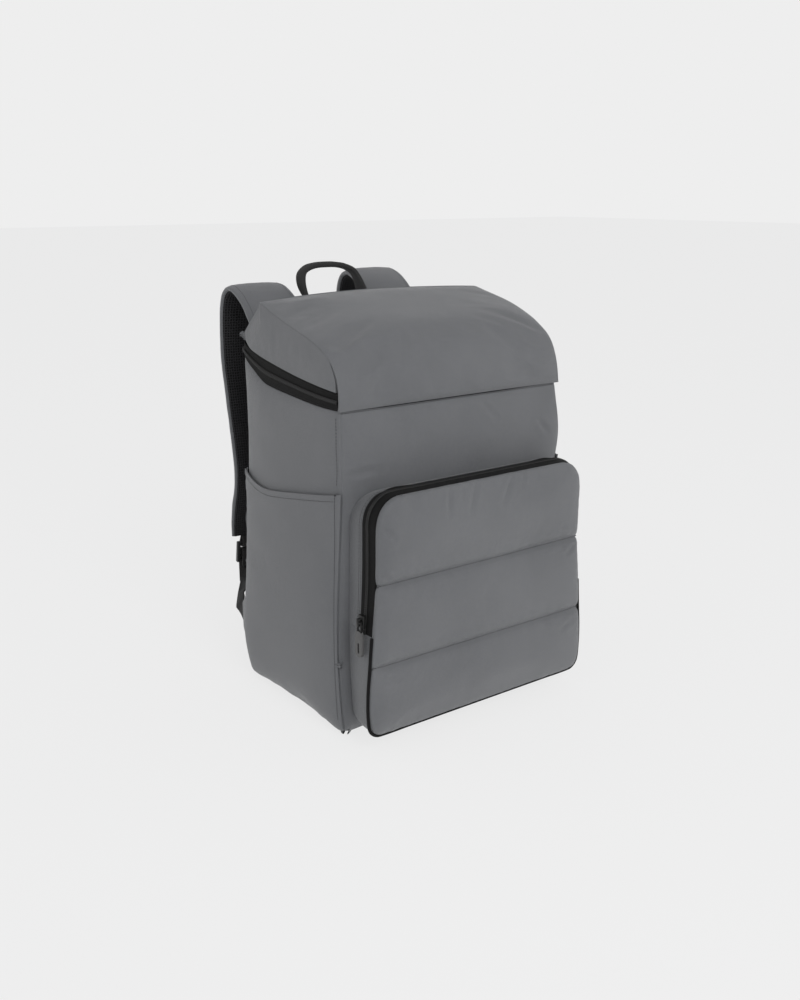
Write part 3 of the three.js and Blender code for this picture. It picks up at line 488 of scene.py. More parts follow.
def from_rim(piece):
    """Distance of each point from the open edge, and the edge's point nearest to it."""
    co = points_of(piece)
    rim = rim_of(piece)
    tree = tree_of(co[rim])
    found = [tree.find(point) for point in co]
    return np.array([near[2] for near in found]), np.array([rim[near[1]] for near in found])


def field(co, size, seed):
    """Smooth noise over points, about -1 to 1, with features of a size."""
    shift = Vector((seed * 7.3, seed * 3.1, seed * 5.7))
    return np.array([noise.fractal(Vector(p) / size + shift, 1.0, 2.0, 2) for p in co])


# Each bulge has its middle, its way, how far it swells, and its reach up and across.
BULGES = (
    ((0.140, -0.095, 0.285), (0.807, -0.59, 0.0), 0.009, 0.045, 0.040),
    ((0.138, -0.008, 0.415), (0.60, -0.35, 0.60), 0.0075, 0.028, 0.055),
    ((-0.143, 0.093, 0.050), (-0.807, 0.59, 0.0), 0.006, 0.050, 0.040),
)


def bulge(piece):
    """Swells the whole bag's outline where the photographed one is fuller than its plain solid."""
    co = points_of(piece)
    for centre, way, size, tall, wide in BULGES:
        gap = co - np.array(centre)
        level = gap[:, 0] ** 2 + gap[:, 1] ** 2
        weight = np.exp(-((gap[:, 2] / tall) ** 2) - (level / wide ** 2))
        co = co + weight[:, None] * np.array(way) * size
    set_points(piece, co)


def crease(piece, folds):
    """Presses folds into the cloth: each has two ends, a depth and a half width."""
    co = points_of(piece)
    move = np.zeros(len(co))
    for start, end, depth, width in folds:
        start, end = np.array(start), np.array(end)
        run = end - start
        share = np.clip(((co - start) @ run) / (run @ run), 0, 1)
        away = np.linalg.norm(co - start - share[:, None] * run, axis=1)
        fade = np.sin(np.pi * (0.08 + 0.84 * share)) ** 0.7
        ditch = np.exp(-((away / width) ** 2))
        banks = 0.45 * np.exp(-(((away - 2.1 * width) / width) ** 2))
        move += depth * fade * (banks - ditch)
    set_points(piece, co + points_of(piece, "normal") * move[:, None])


print("seam helpers ready")

# %% [markdown]
# A padded panel is the skin, swollen by a short cloth simulation that is held at its seams. Its
# moves are evened, so that no crease finer than the cloth's stays. Then it is drawn in at the
# seams and puckered there by the stitches, and its thickness comes last.

# %% Padded panels
SEAM_DEPTH = 0.0018
SEAM_REACH = 0.0045
PUCKER = 0.0002
PUCKER_REACH = 0.010
HOLD_REACH = 0.004
SMOOTHING = 10
SWELL_FRAMES = 20
FLOOR_CLEARANCE = 0.0004
rims, skins = {}, {}


def evened(piece, move):
    """Averages each point's move with its neighbours' a few times."""
    ends = np.empty(len(piece.data.edges) * 2, int)
    piece.data.edges.foreach_get("vertices", ends)
    ends = ends.reshape(-1, 2)
    count = np.bincount(ends.ravel(), minlength=len(move))[:, None]
    for _ in range(SMOOTHING):
        total = np.zeros_like(move)
        np.add.at(total, ends[:, 0], move[ends[:, 1]])
        np.add.at(total, ends[:, 1], move[ends[:, 0]])
        move = move / 2 + total / np.maximum(count, 1) / 2
    return move


def simulate(piece, held, pressure, slack, cap):
    """Swells a skin as cloth held where held is 1."""
    before = points_of(piece)
    group = piece.vertex_groups.new(name="held")
    for index, weight in enumerate(held):
        if weight > 0:
            group.add([index], float(weight), "REPLACE")
    cloth = piece.modifiers.new("Cloth", "CLOTH")
    cloth.settings.quality = 5
    cloth.settings.mass = 0.3
    cloth.settings.tension_stiffness = 15
    cloth.settings.compression_stiffness = 15
    cloth.settings.shear_stiffness = 5
    cloth.settings.bending_stiffness = 2.0
    cloth.settings.vertex_group_mass = "held"
    cloth.settings.pin_stiffness = 1
    cloth.settings.shrink_min = -slack
    cloth.settings.use_pressure = True
    cloth.settings.uniform_pressure_force = pressure
    cloth.settings.effector_weights.gravity = 0
    cloth.point_cache.frame_start = 1
    cloth.point_cache.frame_end = SWELL_FRAMES
    for step in range(1, SWELL_FRAMES + 1):
        scene.frame_set(step)
    select_only(piece)
    bpy.ops.object.modifier_apply(modifier=cloth.name)
    scene.frame_set(1)
    move = points_of(piece) - before
    length = np.linalg.norm(move, axis=1, keepdims=True)
    move = move * cap * np.tanh(length / cap) / np.maximum(length, 1e-9)
    set_points(piece, before + evened(piece, move) * (1 - held[:, None]))
    piece.vertex_groups.clear()
    return float(length.max())


def draw_in(piece, depth, seed, pucker, drape):
    """Pulls a skin in at its seams, with puckers across them, and drapes the cloth between."""
    co = points_of(piece)
    away, nearest = from_rim(piece)
    rim = sorted(set(nearest.tolist()))
    along = np.zeros(len(co))
    along[rim] = field(co[rim], 0.0075, seed)
    inside = 1 - np.exp(-away / 0.0025)
    move = -depth * np.exp(-away / SEAM_REACH)
    move += pucker * along[nearest] * np.exp(-away / PUCKER_REACH) * inside
    move += drape * field(co, 0.075, seed + 4) * (1 - np.exp(-away / 0.03))
    set_points(piece, co + points_of(piece, "normal") * move[:, None])


def tree_of_faces(piece):
    corners = [tuple(face.vertices) for face in piece.data.polygons]
    return BVHTree.FromPolygons(points_of(piece).tolist(), corners)


def weave_map(piece):
    """Lays a map on the cloth, in metres, from whichever way each face looks."""
    mesh = piece.data
    while mesh.uv_layers:
        mesh.uv_layers.remove(mesh.uv_layers[0])
    layer = mesh.uv_layers.new(name="weave")
    co = points_of(piece)
    corners = np.empty(len(mesh.loops), int)
    mesh.loops.foreach_get("vertex_index", corners)
    normals = np.empty(len(mesh.polygons) * 3)
    mesh.polygons.foreach_get("normal", normals)
    counts = np.empty(len(mesh.polygons), int)
    mesh.polygons.foreach_get("loop_total", counts)
    main = np.repeat(np.abs(normals.reshape(-1, 3)).argmax(1), counts)
    at = co[corners]
    across = np.where(main == 0, at[:, 1], at[:, 0])
    up = np.where(main == 2, at[:, 1], at[:, 2])
    layer.data.foreach_set("uv", np.stack([across, up], 1).ravel())


def finish_piece(piece, material, body="root", smooth_angle=60):
    piece.data.materials.clear()
    piece.data.materials.append(material)
    select_only(piece)
    bpy.ops.object.shade_smooth_by_angle(angle=math.radians(smooth_angle))
    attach(piece, body)
    return piece


def padded_panel(
    node, low, high, seed, levels=3, extra=0, pressure=3.0, slack=0.006, cap=0.004, thickness=0.004,
    depth=SEAM_DEPTH, pucker=PUCKER, drape=0.0008, shape=None, hold=None, folds=(),
):
    """A panel's cloth, from its skin to its thickness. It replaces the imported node."""
    piece = skin_of(node, node + "_cloth", low, high)
    refine(piece, levels)
    away, _ = from_rim(piece)
    held = np.exp(-((away / HOLD_REACH) ** 2))
    if hold is not None:
        held = np.maximum(held, hold(points_of(piece)))
    if pressure > 0:
        grown = simulate(piece, np.where(held > 0.2, held, 0), pressure, slack, cap)
        print(node, "swelled", round(grown * 1000, 1), "mm")
    if extra:
        refine(piece, extra)
    draw_in(piece, depth, seed, pucker, drape)
    if shape is not None:
        shape(piece)
    crease(piece, folds)
    rims[node] = points_of(piece)[rim_of(piece)]
    skins[node] = tree_of_faces(piece)
    bulge(piece)
    apply(piece, "SOLIDIFY", thickness=thickness, offset=-1)
    co = points_of(piece)
    co[:, 2] = np.maximum(co[:, 2], FLOOR_CLEARANCE)
    set_points(piece, co)
    weave_map(piece)
    finish_piece(piece, shell)
    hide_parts(node)
    return piece


print("panel helper ready")

# %% [markdown]
# The body's four walls. The front one carries small creases where the lid and the pocket pull on
# it.

# %% Body
# Each fold has two ends, a depth and a half width.
FRONT_FOLDS = (
    ((-0.1385, -0.0995, 0.318), (-0.131, -0.0995, 0.300), 0.0011, 0.0022),
    ((-0.1360, -0.0990, 0.276), (-0.098, -0.0990, 0.279), 0.0012, 0.0030),
    ((-0.1370, -0.0990, 0.262), (-0.119, -0.0990, 0.247), 0.0009, 0.0025),
    ((-0.0670, -0.1000, 0.328), (-0.047, -0.1000, 0.330), 0.0010, 0.0022),
    ((0.1070, -0.1000, 0.300), (0.118, -0.1000, 0.288), 0.0014, 0.0028),
    ((0.0300, -0.1010, 0.332), (0.050, -0.1010, 0.312), 0.0008, 0.0030),
)
front = padded_panel("front_panel", body_low, body_high, seed=1, extra=1, folds=FRONT_FOLDS)
left_side = padded_panel("side_panel_left", body_low, body_high, seed=2, extra=1)
right_side = padded_panel("side_panel_right", body_low, body_high, seed=3)
back_panel = padded_panel("back_panel", body_low, body_high, seed=4)
walls = (front, left_side, right_side, back_panel)
print("body panels:", [len(wall.data.polygons) for wall in walls])

# %% [markdown]
# The lid is a puffed cover whose edges turn down over two gussets and a sloping back. The gussets
# and the back are sewn to the cover's edge, and the gussets' own edges are moved onto it.

# %% Lid
lid_low = Vector((-0.12, -0.075, 0.3))
lid_high = Vector((0.12, 0.04, 0.385))
LID_HALF_WIDTH = 0.1394
LID_ROUND = 0.009
LID_FOLDS = (
    ((-0.137, -0.072, 0.398), (-0.126, -0.086, 0.392), 0.0012, 0.0022),
    ((-0.136, -0.010, 0.417), (-0.120, -0.016, 0.422), 0.0008, 0.0024),
)


def turn_down(piece):
    """Pushes the cover's side edges out over the gussets, as far as they swell."""
    co = points_of(piece)
    near = smooth(1 - (LID_HALF_WIDTH - np.abs(co[:, 0])) / 0.022)
    along = np.clip(1 - (np.abs(co[:, 1]) / 0.0925) ** 4, 0, 1)
    co[:, 0] += np.sign(co[:, 0]) * near * along * 0.0028
    set_points(piece, co)


lid = padded_panel(
    "lid_cover", lid_low, lid_high, seed=5, pressure=4, slack=0.008, cap=0.005, depth=0.0012,
    shape=turn_down, folds=LID_FOLDS,
)
lid_back = padded_panel("lid_back_panel", lid_low, lid_high, seed=6, depth=0.0008)


def lid_edge(side):
    """The edge of the cover and of the sloping back on one side, from front to back."""
    both = np.vstack([rims["lid_cover"], rims["lid_back_panel"]])
    past = np.clip(both[:, 1] - 0.0865, 0, LID_ROUND)
    full = LID_HALF_WIDTH - LID_ROUND + np.sqrt(LID_ROUND ** 2 - past ** 2)
    on_side = (side * both[:, 0] > full - 0.0012) & (both[:, 2] > 0.345)
    edge = both[on_side]
    return edge[np.argsort(edge[:, 1])]


def sewn_to_lid(side):
    """Moves a gusset's upper edge onto the lid's edge, and the cloth below it by less and less."""
    def shape(piece):
        edge = lid_edge(side)
        co = points_of(piece)
        goal = np.stack(
            [np.interp(co[:, 1], edge[:, 1], edge[:, axis]) for axis in (0, 2)], 1,
        )
        rim = rim_of(piece)
        around = [co[rim][np.abs(co[rim, 1] - co[index, 1]) < 0.0015, 2] for index in rim]
        upper = [
            index for index, heights in zip(rim, around)
            if heights.max() - 0.0022 < co[index, 2] > heights.min() + 0.0015
            and goal[index, 1] - co[index, 2] < 0.0085
        ]
        tree = tree_of(co[upper])
        found = [tree.find(point) for point in co]
        near = np.array([upper[hit[1]] for hit in found])
        fade = smooth(1 - np.array([hit[2] for hit in found]) / 0.02)
        co[:, 0] += fade * (goal[near, 0] - co[near, 0] + side * 0.0003)
        co[:, 2] += fade * (goal[near, 1] - co[near, 2] - 0.0003)
        set_points(piece, co)
    return shape


gussets = [
    padded_panel(f"lid_gusset_{side}", lid_low, lid_high, seed=seed, depth=0.0003,
                 shape=sewn_to_lid(sign))
    for side, sign, seed in (("left", -1, 7), ("right", 1, 8))
]
print("lid:", [len(part.data.polygons) for part in (lid, lid_back, *gussets)])

# %% [markdown]
# The pocket's face is three pillows between its edge and two sewn quilt lines. The simulation
# holds the lines and the edge and lets the rest swell, and the thread then cuts a narrow ditch
# along each line.

# %% Pocket
QUILT_LINES = (0.095, 0.178)
QUILT_DEPTH = 0.0026
GATHER = 0.0007
POCKET_FOLDS = (
    ((-0.047, -0.1490, 0.262), (-0.052, -0.1530, 0.238), 0.0015, 0.0026),
    ((-0.032, -0.1490, 0.262), (-0.034, -0.1530, 0.246), 0.0011, 0.0024),
    ((-0.014, -0.1490, 0.262), (-0.024, -0.1530, 0.236), 0.0015, 0.0028),
    ((0.034, -0.1490, 0.262), (0.016, -0.1530, 0.236), 0.0012, 0.0028),
    ((0.050, -0.1490, 0.262), (0.044, -0.1530, 0.248), 0.0012, 0.0024),
    ((-0.128, -0.1480, 0.236), (-0.116, -0.1520, 0.226), 0.0012, 0.0026),
    ((-0.130, -0.1480, 0.190), (-0.118, -0.1520, 0.184), 0.0012, 0.0026),
    ((-0.132, -0.1480, 0.086), (-0.112, -0.1520, 0.080), 0.0010, 0.0026),
    ((0.128, -0.1480, 0.084), (0.108, -0.1520, 0.078), 0.0010, 0.0026),
    ((0.126, -0.1480, 0.170), (0.110, -0.1520, 0.164), 0.0010, 0.0024),
)


def quilt_hold(co):
    inner = np.zeros(len(co))
    for line in QUILT_LINES:
        inner = np.maximum(inner, np.exp(-(((co[:, 2] - line) / 0.003) ** 2)))
    return inner


def quilt_shape(piece):
    """Cuts a ditch along each quilt line, with gathers of cloth across it."""
    co = points_of(piece)
    move = np.zeros(len(co))
    for index, line in enumerate(QUILT_LINES):
        gap = np.abs(co[:, 2] - line)
        flat = co.copy()
        flat[:, 1:] = 0
        gathers = field(flat, 0.011, 30 + index)
        move -= QUILT_DEPTH * np.exp(-gap / 0.0026)
        move += GATHER * gathers * np.exp(-gap / 0.012) * (1 - np.exp(-gap / 0.0025))
    set_points(piece, co + points_of(piece, "normal") * move[:, None])


face = padded_panel(
    "pocket_face", Vector((-0.2, -0.12, 0)), Vector((0.2, -0.11, 0.3)), seed=9, pressure=5,
    slack=0.002, cap=0.005, thickness=0.0022, depth=0.0006, pucker=0.0007, shape=quilt_shape,
    hold=quilt_hold, folds=POCKET_FOLDS,
)


def pocket_gusset(half, floor_height, seed):
    low, high = Vector((-0.1, -0.2, floor_height)), Vector((0.1, 0, 0.2))
    return padded_panel(
        f"pocket_gusset_{half}", low, high, seed=seed, levels=2, extra=1, pressure=0,
        thickness=0.0016, depth=0.0006, drape=0.0004,
    )


upper_gusset = pocket_gusset("upper", 0.07, 10)
lower_gusset = pocket_gusset("lower", 0.06, 11)
print("pocket:", [len(part.data.polygons) for part in (face, upper_gusset, lower_gusset)])

# %% [markdown]
# A slip pocket is one more layer of nylon on a side wall, sewn into the corner seams. Its skin is
# laid on the swollen wall, so that it hugs it, and only its top edge stands a little away.

# %% Slip pockets
HUG_GAP, TOP_GAP = 0.0018, 0.0034
SLIP_TOP = 0.245


def hugging(node):
    """Lays a piece on a wall's swollen skin, and lets it stand away near its top edge."""
    def shape(piece):
        co = points_of(piece)
        top = smooth(1 - np.abs(co[:, 2] - SLIP_TOP) / 0.05)
        for index, place in enumerate(co):
            hit, normal, _, _ = skins[node].find_nearest(Vector(place))
            co[index] = hit + normal * (HUG_GAP + (TOP_GAP - HUG_GAP) * top[index])
        set_points(piece, co)
    return shape


slips = {}
for side in ("left", "right"):
    slips[side] = padded_panel(
        f"slip_pocket_{side}", body_low, body_high, seed=12, pressure=0, thickness=0.0014,
        depth=0.0, pucker=0, drape=0, shape=hugging(f"side_panel_{side}"),
    )
print("slip pockets made")

# %% [markdown]
# Tapes, webbing, straps and piping are bands. A packed band is a row of rings, each with the same
# few points, so walking its mesh from one end, ring by ring, gives its middle line, its width and
# its thickness. A smooth curve through them is then skinned with a finer section, and its map
# runs across and along the band in metres.

# %% Bands


def rings_of(node, at_end):
    """Rings of points along a packed band, from the end that at_end picks."""
    piece = copy_of(node, "rings")
    mesh = bmesh.new()
    mesh.from_mesh(piece.data)
    ring = [vert for vert in mesh.verts if at_end(vert.co)]
    seen = set(ring)
    rings = []
    while ring:
        rings.append([vert.co.copy() for vert in ring])
        after = []
        for vert in ring:
            for edge in vert.link_edges:
                other = edge.other_vert(vert)
                if other not in seen:
                    seen.add(other)
                    after.append(other)
        ring = after
    mesh.free()
    bpy.data.objects.remove(piece)
    return rings


def spline(knots, values, at):
    """Smooth values between knots."""
    slopes = np.gradient(values, knots, axis=0)
    index = np.clip(np.searchsorted(knots, at) - 1, 0, len(knots) - 2)
    span = (knots[index + 1] - knots[index])[:, None]
    share = (at - knots[index])[:, None] / span
    square, cube = share ** 2, share ** 3
    return (
        (2 * cube - 3 * square + 1) * values[index]
        + (cube - 2 * square + share) * span * slopes[index]
        + (3 * square - 2 * cube) * values[index + 1]
        + (cube - square) * span * slopes[index + 1]
    )


class Path:
    """A band's middle line, with the vectors of its full width and full thickness at each place."""

    def __init__(self, centre, wide, thick):
        self.centre, self.wide, self.thick = centre, wide, thick
        steps = np.linalg.norm(np.diff(centre, axis=0), axis=1)
        self.length = np.concatenate([[0], np.cumsum(steps)])

    def sampled(self, step):
        count = max(int(round(self.length[-1] / step)), 2)
        at = np.linspace(0, self.length[-1], count + 1)
        rows = spline(self.length, np.hstack([self.centre, self.wide, self.thick]), at)
        return Path(rows[:, :3], rows[:, 3:6], rows[:, 6:])

    def along(self):
        way = np.gradient(self.centre, axis=0)
        return way / np.linalg.norm(way, axis=1, keepdims=True)

    def place(self, across, out):
        """Points at a share of the width from the middle line, and so many metres out of it."""
        unit = self.thick / np.linalg.norm(self.thick, axis=1, keepdims=True)
        return self.centre + self.wide * across + unit * out


def path_of(node, at_end, wide, thick, step=0.002):
    rows = []
    for ring in rings_of(node, at_end):
        first = ring[0]
        others = sorted((point - first for point in ring[1:]), key=lambda gap: gap.length)
        thin, broad = others[0], others[1]
        broad = broad if broad.dot(Vector(wide)) > 0 else -broad
        thin = thin if thin.dot(Vector(thick)) > 0 else -thin
        middle = sum(ring, Vector()) / len(ring)
        rows.append((*middle, *broad, *thin))
        wide, thick = broad, thin
    rows = np.array(rows)
    return Path(rows[:, :3], rows[:, 3:6], rows[:, 6:]).sampled(step)


def skin_band(name, path, section, material, node, swell=None):
    """Skins a path with a section of (across, out) shares and replaces a node with it."""
    section = np.array(section)
    count, rows = len(section), len(path.centre)
    points = (path.centre[:, None] + section[None, :, :1] * path.wide[:, None]
              + section[None, :, 1:] * path.thick[:, None])
    if swell is not None:
        points = swell(points, path)
    ring = points[rows // 2]
    sides = np.linalg.norm(np.roll(ring, -1, axis=0) - ring, axis=1)
    around = np.concatenate([[0], np.cumsum(sides)])
    faces, maps = [], []
    for row in range(rows - 1):
        for side in range(count):
            after = (side + 1) % count
            start, end = row * count, (row + 1) * count
            faces.append((start + side, start + after, end + after, end + side))
            low, high = path.length[row], path.length[row + 1]
            left, right = around[side], around[side + 1]
            maps += [left, low, right, low, right, high, left, high]
    for row, order in ((0, -1), (rows - 1, 1)):
        faces.append(tuple(row * count + side for side in range(count))[::order])
        for side in list(range(count))[::order]:
            maps += [around[side], path.length[row]]
    mesh = bpy.data.meshes.new(name)
    mesh.from_pydata(points.reshape(-1, 3).tolist(), [], faces)
    mesh.uv_layers.new(name="weave").data.foreach_set("uv", maps)
    piece = bpy.data.objects.new(name, mesh)
    scene.collection.objects.link(piece)
    turned = bmesh.new()
    turned.from_mesh(mesh)
    bmesh.ops.recalc_face_normals(turned, faces=turned.faces)
    turned.to_mesh(mesh)
    turned.free()
    bulge(piece)
    finish_piece(piece, material, smooth_angle=50)
    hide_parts(node)
    return piece


def rounded(power, count):
    """Section of a band: a squared oval."""
    turns = np.arange(count) * 2 * math.pi / count + math.pi / count
    across = 0.5 * np.sign(np.cos(turns)) * np.abs(np.cos(turns)) ** (2 / power)
    out = 0.5 * np.sign(np.sin(turns)) * np.abs(np.sin(turns)) ** (2 / power)
    return np.stack([across, out], 1)


FLAT = [
    (-0.5, -0.5), (-0.5, 0.2), (-0.47, 0.45), (-0.25, 0.5), (0, 0.5),
    (0.25, 0.5), (0.47, 0.45), (0.5, 0.2), (0.5, -0.5), (0, -0.5),
]
print("section of a band:", len(FLAT), "points")

# %% [markdown]
# A stitch and a zip tooth are the same small form: a ball of a few faces, stretched. It is
# modelled once and then copied along a line, each copy turned with the line. Stitches are laid on
# the nearest cloth.

# %% Beads, stitches and teeth


def bead(length, width, height):
    bpy.ops.mesh.primitive_uv_sphere_add(segments=6, ring_count=4, radius=0.5)
    ball = bpy.context.object
    co = points_of(ball)[:, [2, 0, 1]] * np.array([length, width, height])
    faces = [tuple(face.vertices) for face in ball.data.polygons]
    bpy.data.objects.remove(ball)
    return co, faces


def string(name, shape, centre, along, out, material):
    """One piece of many copies of a bead, each at its place and turned along and out."""
    out = out - along * np.sum(out * along, axis=1, keepdims=True)
    out = out / np.linalg.norm(out, axis=1, keepdims=True)
    side = np.cross(out, along)
    co, faces = shape
    points = (
        centre[:, None] + co[None, :, :1] * along[:, None] + co[None, :, 1:2] * side[:, None]
        + co[None, :, 2:] * out[:, None]
    )
    all_faces = [
        tuple(index + copy * len(co) for index in face)
        for copy in range(len(centre)) for face in faces
    ]
    mesh = bpy.data.meshes.new(name)
    mesh.from_pydata(points.reshape(-1, 3).tolist(), [], all_faces)
    piece = bpy.data.objects.new(name, mesh)
    scene.collection.objects.link(piece)
    weave_map(piece)
    finish_piece(piece, material)


STITCH = bead(0.0024, 0.0006, 0.0005)
STITCH_PITCH = 0.0033
STITCH_LIFT = 0.0001


def surfaces(*pieces):
    return [tree_of_faces(piece) for piece in pieces]


def stitch_row(name, points, trees, material=thread, ray=None):
    """Stitches along a line, laid on the nearest cloth or on the cloth that a ray meets."""
    points = np.array(points, float)
    steps = np.linalg.norm(np.diff(points, axis=0), axis=1)
    length = np.concatenate([[0], np.cumsum(steps)])
    at = np.arange(0, length[-1], STITCH_PITCH)
    laid, normals = [], []
    places = np.stack([np.interp(at, length, points[:, axis]) for axis in range(3)], 1)
    for place in places:
        if ray is None:
            hits = [tree.find_nearest(Vector(place)) for tree in trees]
        else:
            hits = [tree.ray_cast(Vector(place), Vector(ray)) for tree in trees]
        hits = [hit for hit in hits if hit[0] is not None]
        if not hits:
            continue
        best = min(hits, key=lambda hit: hit[3])
        normal = best[1] if best[1].dot(Vector(place) - best[0]) >= 0 else -best[1]
        laid.append(best[0] + normal * STITCH_LIFT)
        normals.append(normal)
    laid, normals = np.array(laid), np.array(normals)
    along = np.gradient(laid, axis=0)
    along = along / np.maximum(np.linalg.norm(along, axis=1, keepdims=True), 1e-9)
    string(name, STITCH, laid, along, normals, material)


print("bead faces:", len(STITCH[1]))

# %% [markdown]
# A coil zip is two tapes with a row of nylon teeth between them. Its tapes are thin woven bands,
# and the teeth lie across them one after the other, leaning a little left and right in turn.

# %% Zips


def zip_teeth(name, path, reach, pitch):
    """Teeth across a coil's path, every second one leaning the other way."""
    at = path.sampled(pitch)
    wide = at.wide / np.linalg.norm(at.wide, axis=1, keepdims=True)
    lean = np.where(np.arange(len(wide)) % 2 == 0, 1.0, -1.0)[:, None]
    across = wide + at.along() * 0.22 * lean
    across = across / np.linalg.norm(across, axis=1, keepdims=True)
    centre = at.place(0, 0.0002) + wide * lean * reach * 0.16
    string(name, bead(reach, pitch * 0.8, 0.0013), centre, across, at.thick, coil_nylon)


def right_front(co):
    return co.x > 0 and co.y < -0.0895


def left_low(co):
    return co.x < 0 and co.z < 0.1277


zip_paths = {}
for name in ("main_zip_lower_tape", "main_zip_upper_tape", "main_zip_coil"):
    zip_paths[name] = path_of(name, right_front, (0, 0, 1), (1, 0, 0))
for name in ("pocket_zip_rear_tape", "pocket_zip_front_tape", "pocket_zip_coil"):
    zip_paths[name] = path_of(name, left_low, (0, -1, 0), (-1, 0, 0))
COIL_SECTION = [(across * 0.8, out * 0.5 - 0.25) for across, out in FLAT]
zip_bands = {}
for name, path in zip_paths.items():
    section, material = (FLAT, tape) if "tape" in name else (COIL_SECTION, coil_nylon)
    zip_bands[name] = skin_band(name + "_band", path, section, material, name)
main_coil = zip_paths["main_zip_coil"]
pocket_coil = zip_paths["pocket_zip_coil"]
zip_teeth("main_zip_teeth", main_coil, 0.0036, 0.00125)
zip_teeth("pocket_zip_teeth", pocket_coil, 0.0030, 0.00110)
for path in (main_coil, pocket_coil):
    print("zip", round(path.length[-1] * 1000), "mm")

# %% [markdown]
# Piping runs round the lower edge of the pocket's face. It is a cord in a strip of cloth, so it
# is a round band.

# %% Piping
PIPING_WIDTH = 0.0030
PIPING_SWELL = 1.1
piping_rings = rings_of("pocket_piping", lambda co: co.x < 0 and co.z > 0.1262)
middle = np.array([sum(ring, Vector()) / len(ring) for ring in piping_rings])
level = np.tile([0, -PIPING_WIDTH, 0], (len(middle), 1))
way = np.gradient(middle, axis=0)
way = way / np.linalg.norm(way, axis=1, keepdims=True)
outward = np.cross(way, [0, -1, 0]) * PIPING_WIDTH
piping_path = Path(middle - outward * 0.5, level * PIPING_SWELL, outward * PIPING_SWELL)
piping_path = piping_path.sampled(0.0025)
skin_band("piping_band", piping_path, rounded(2, 10), tape, "pocket_piping")
print("piping:", round(piping_path.length[-1] * 1000), "mm")

# %% [markdown]
# Shoulder straps are foam pads in the shell's nylon. The nylon turns round the edges onto the
# side that touches the wearer, where an open black mesh is sewn into it. The pad is thickest in
# its middle.

# %% Shoulder straps
LINING_SHARE = 2 / 9
PAD_CROWN = 0.24
CREST_SHIFT, CREST_WIDER = 0.004, 0.13
SEWN_END = {"left": 0.3343, "right": 0.3420}
pad_section = rounded(3.4, 28)
crown = 1 + PAD_CROWN * (1 - (2 * pad_section[:, 0]) ** 2)
pad_section[:, 1] *= np.where(pad_section[:, 1] > 0, crown, 1)
lining_section = [
    (-0.5, 0.0), (-0.495, -0.4), (-0.47, -0.75), (-0.2, -0.95), (0, -1.0),
    (0.2, -0.95), (0.47, -0.75), (0.495, -0.4), (0.5, 0.0), (0.0, 0.1),
]


def pad_swell(points, path):
    """Makes the foam's surface a little uneven."""
    flat = points.reshape(-1, 3)
    middle = np.repeat(path.centre, points.shape[1], axis=0)
    way = flat - middle
    way = way / np.maximum(np.linalg.norm(way, axis=1, keepdims=True), 1e-9)
    return (flat + way * 0.0005 * field(flat, 0.03, 20)[:, None]).reshape(points.shape)


strap_paths, pads = {}, {}
for side, end in SEWN_END.items():
    lining = path_of(
        f"strap_lining_{side}", lambda co: co.y < 0.11 and abs(co.z - end) < 0.0015,
        (1, 0, 0), (0, -1, 0), 0.003,
    )
    whole = lining.thick / LINING_SHARE
    crest = smooth((lining.centre[:, 2:] - 0.36) / 0.06)
    inward = -1 if side == "right" else 1
    moved = lining.centre + crest * [inward * CREST_SHIFT, 0, 0]
    lining = Path(moved, lining.wide * (1 + CREST_WIDER * crest), lining.thick)
    middle = lining.centre + whole * (0.5 - LINING_SHARE / 2)
    pad_path = Path(middle, lining.wide, whole * 0.9)
    pads[side] = skin_band(
        f"strap_pad_{side}_cloth", pad_path, pad_section, shell, f"strap_pad_{side}",
        swell=pad_swell,
    )
    widths = np.linalg.norm(lining.wide, axis=1, keepdims=True)
    narrow = pad_path.wide * (widths - 0.004) / widths
    mesh_path = Path(lining.place(0, 0.0004), narrow, lining.thick)
    inner = skin_band(
        f"strap_lining_{side}_mesh", mesh_path, lining_section, air_mesh, f"strap_lining_{side}",
    )
    strap_paths[side] = pad_path
print("straps:", [round(path.length[-1] * 1000) for path in strap_paths.values()], "mm")

# %% [markdown]
# The carry handle is one length of folded webbing, sewn flat to the back at both feet. Its upper
# part stands on edge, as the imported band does.

# %% Carry handle
HANDLE_LEAN, HANDLE_THICKER = -0.008, 0.6
handle_path = path_of(
    "carry_handle", lambda co: co.x < 0 and co.z < 0.3405, (-1, 0, 0), (0, 1, 0),
)
risen = smooth((handle_path.centre[:, 2:] - 0.385) / 0.06)
leaned = handle_path.centre + risen * [HANDLE_LEAN, 0, 0]
handle_path = Path(leaned, handle_path.wide, handle_path.thick * (1 + HANDLE_THICKER * risen))
skin_band(
    "carry_handle_band", handle_path, rounded(3, 16), webbing, "carry_handle",
)
print("handle:", round(handle_path.length[-1] * 1000), "mm")

# %% [markdown]
# Sliders, links, grips, locks, webbing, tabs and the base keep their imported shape. Each edge is
# rounded a little, as moulding, casting and folding leave it, and so it catches the light.

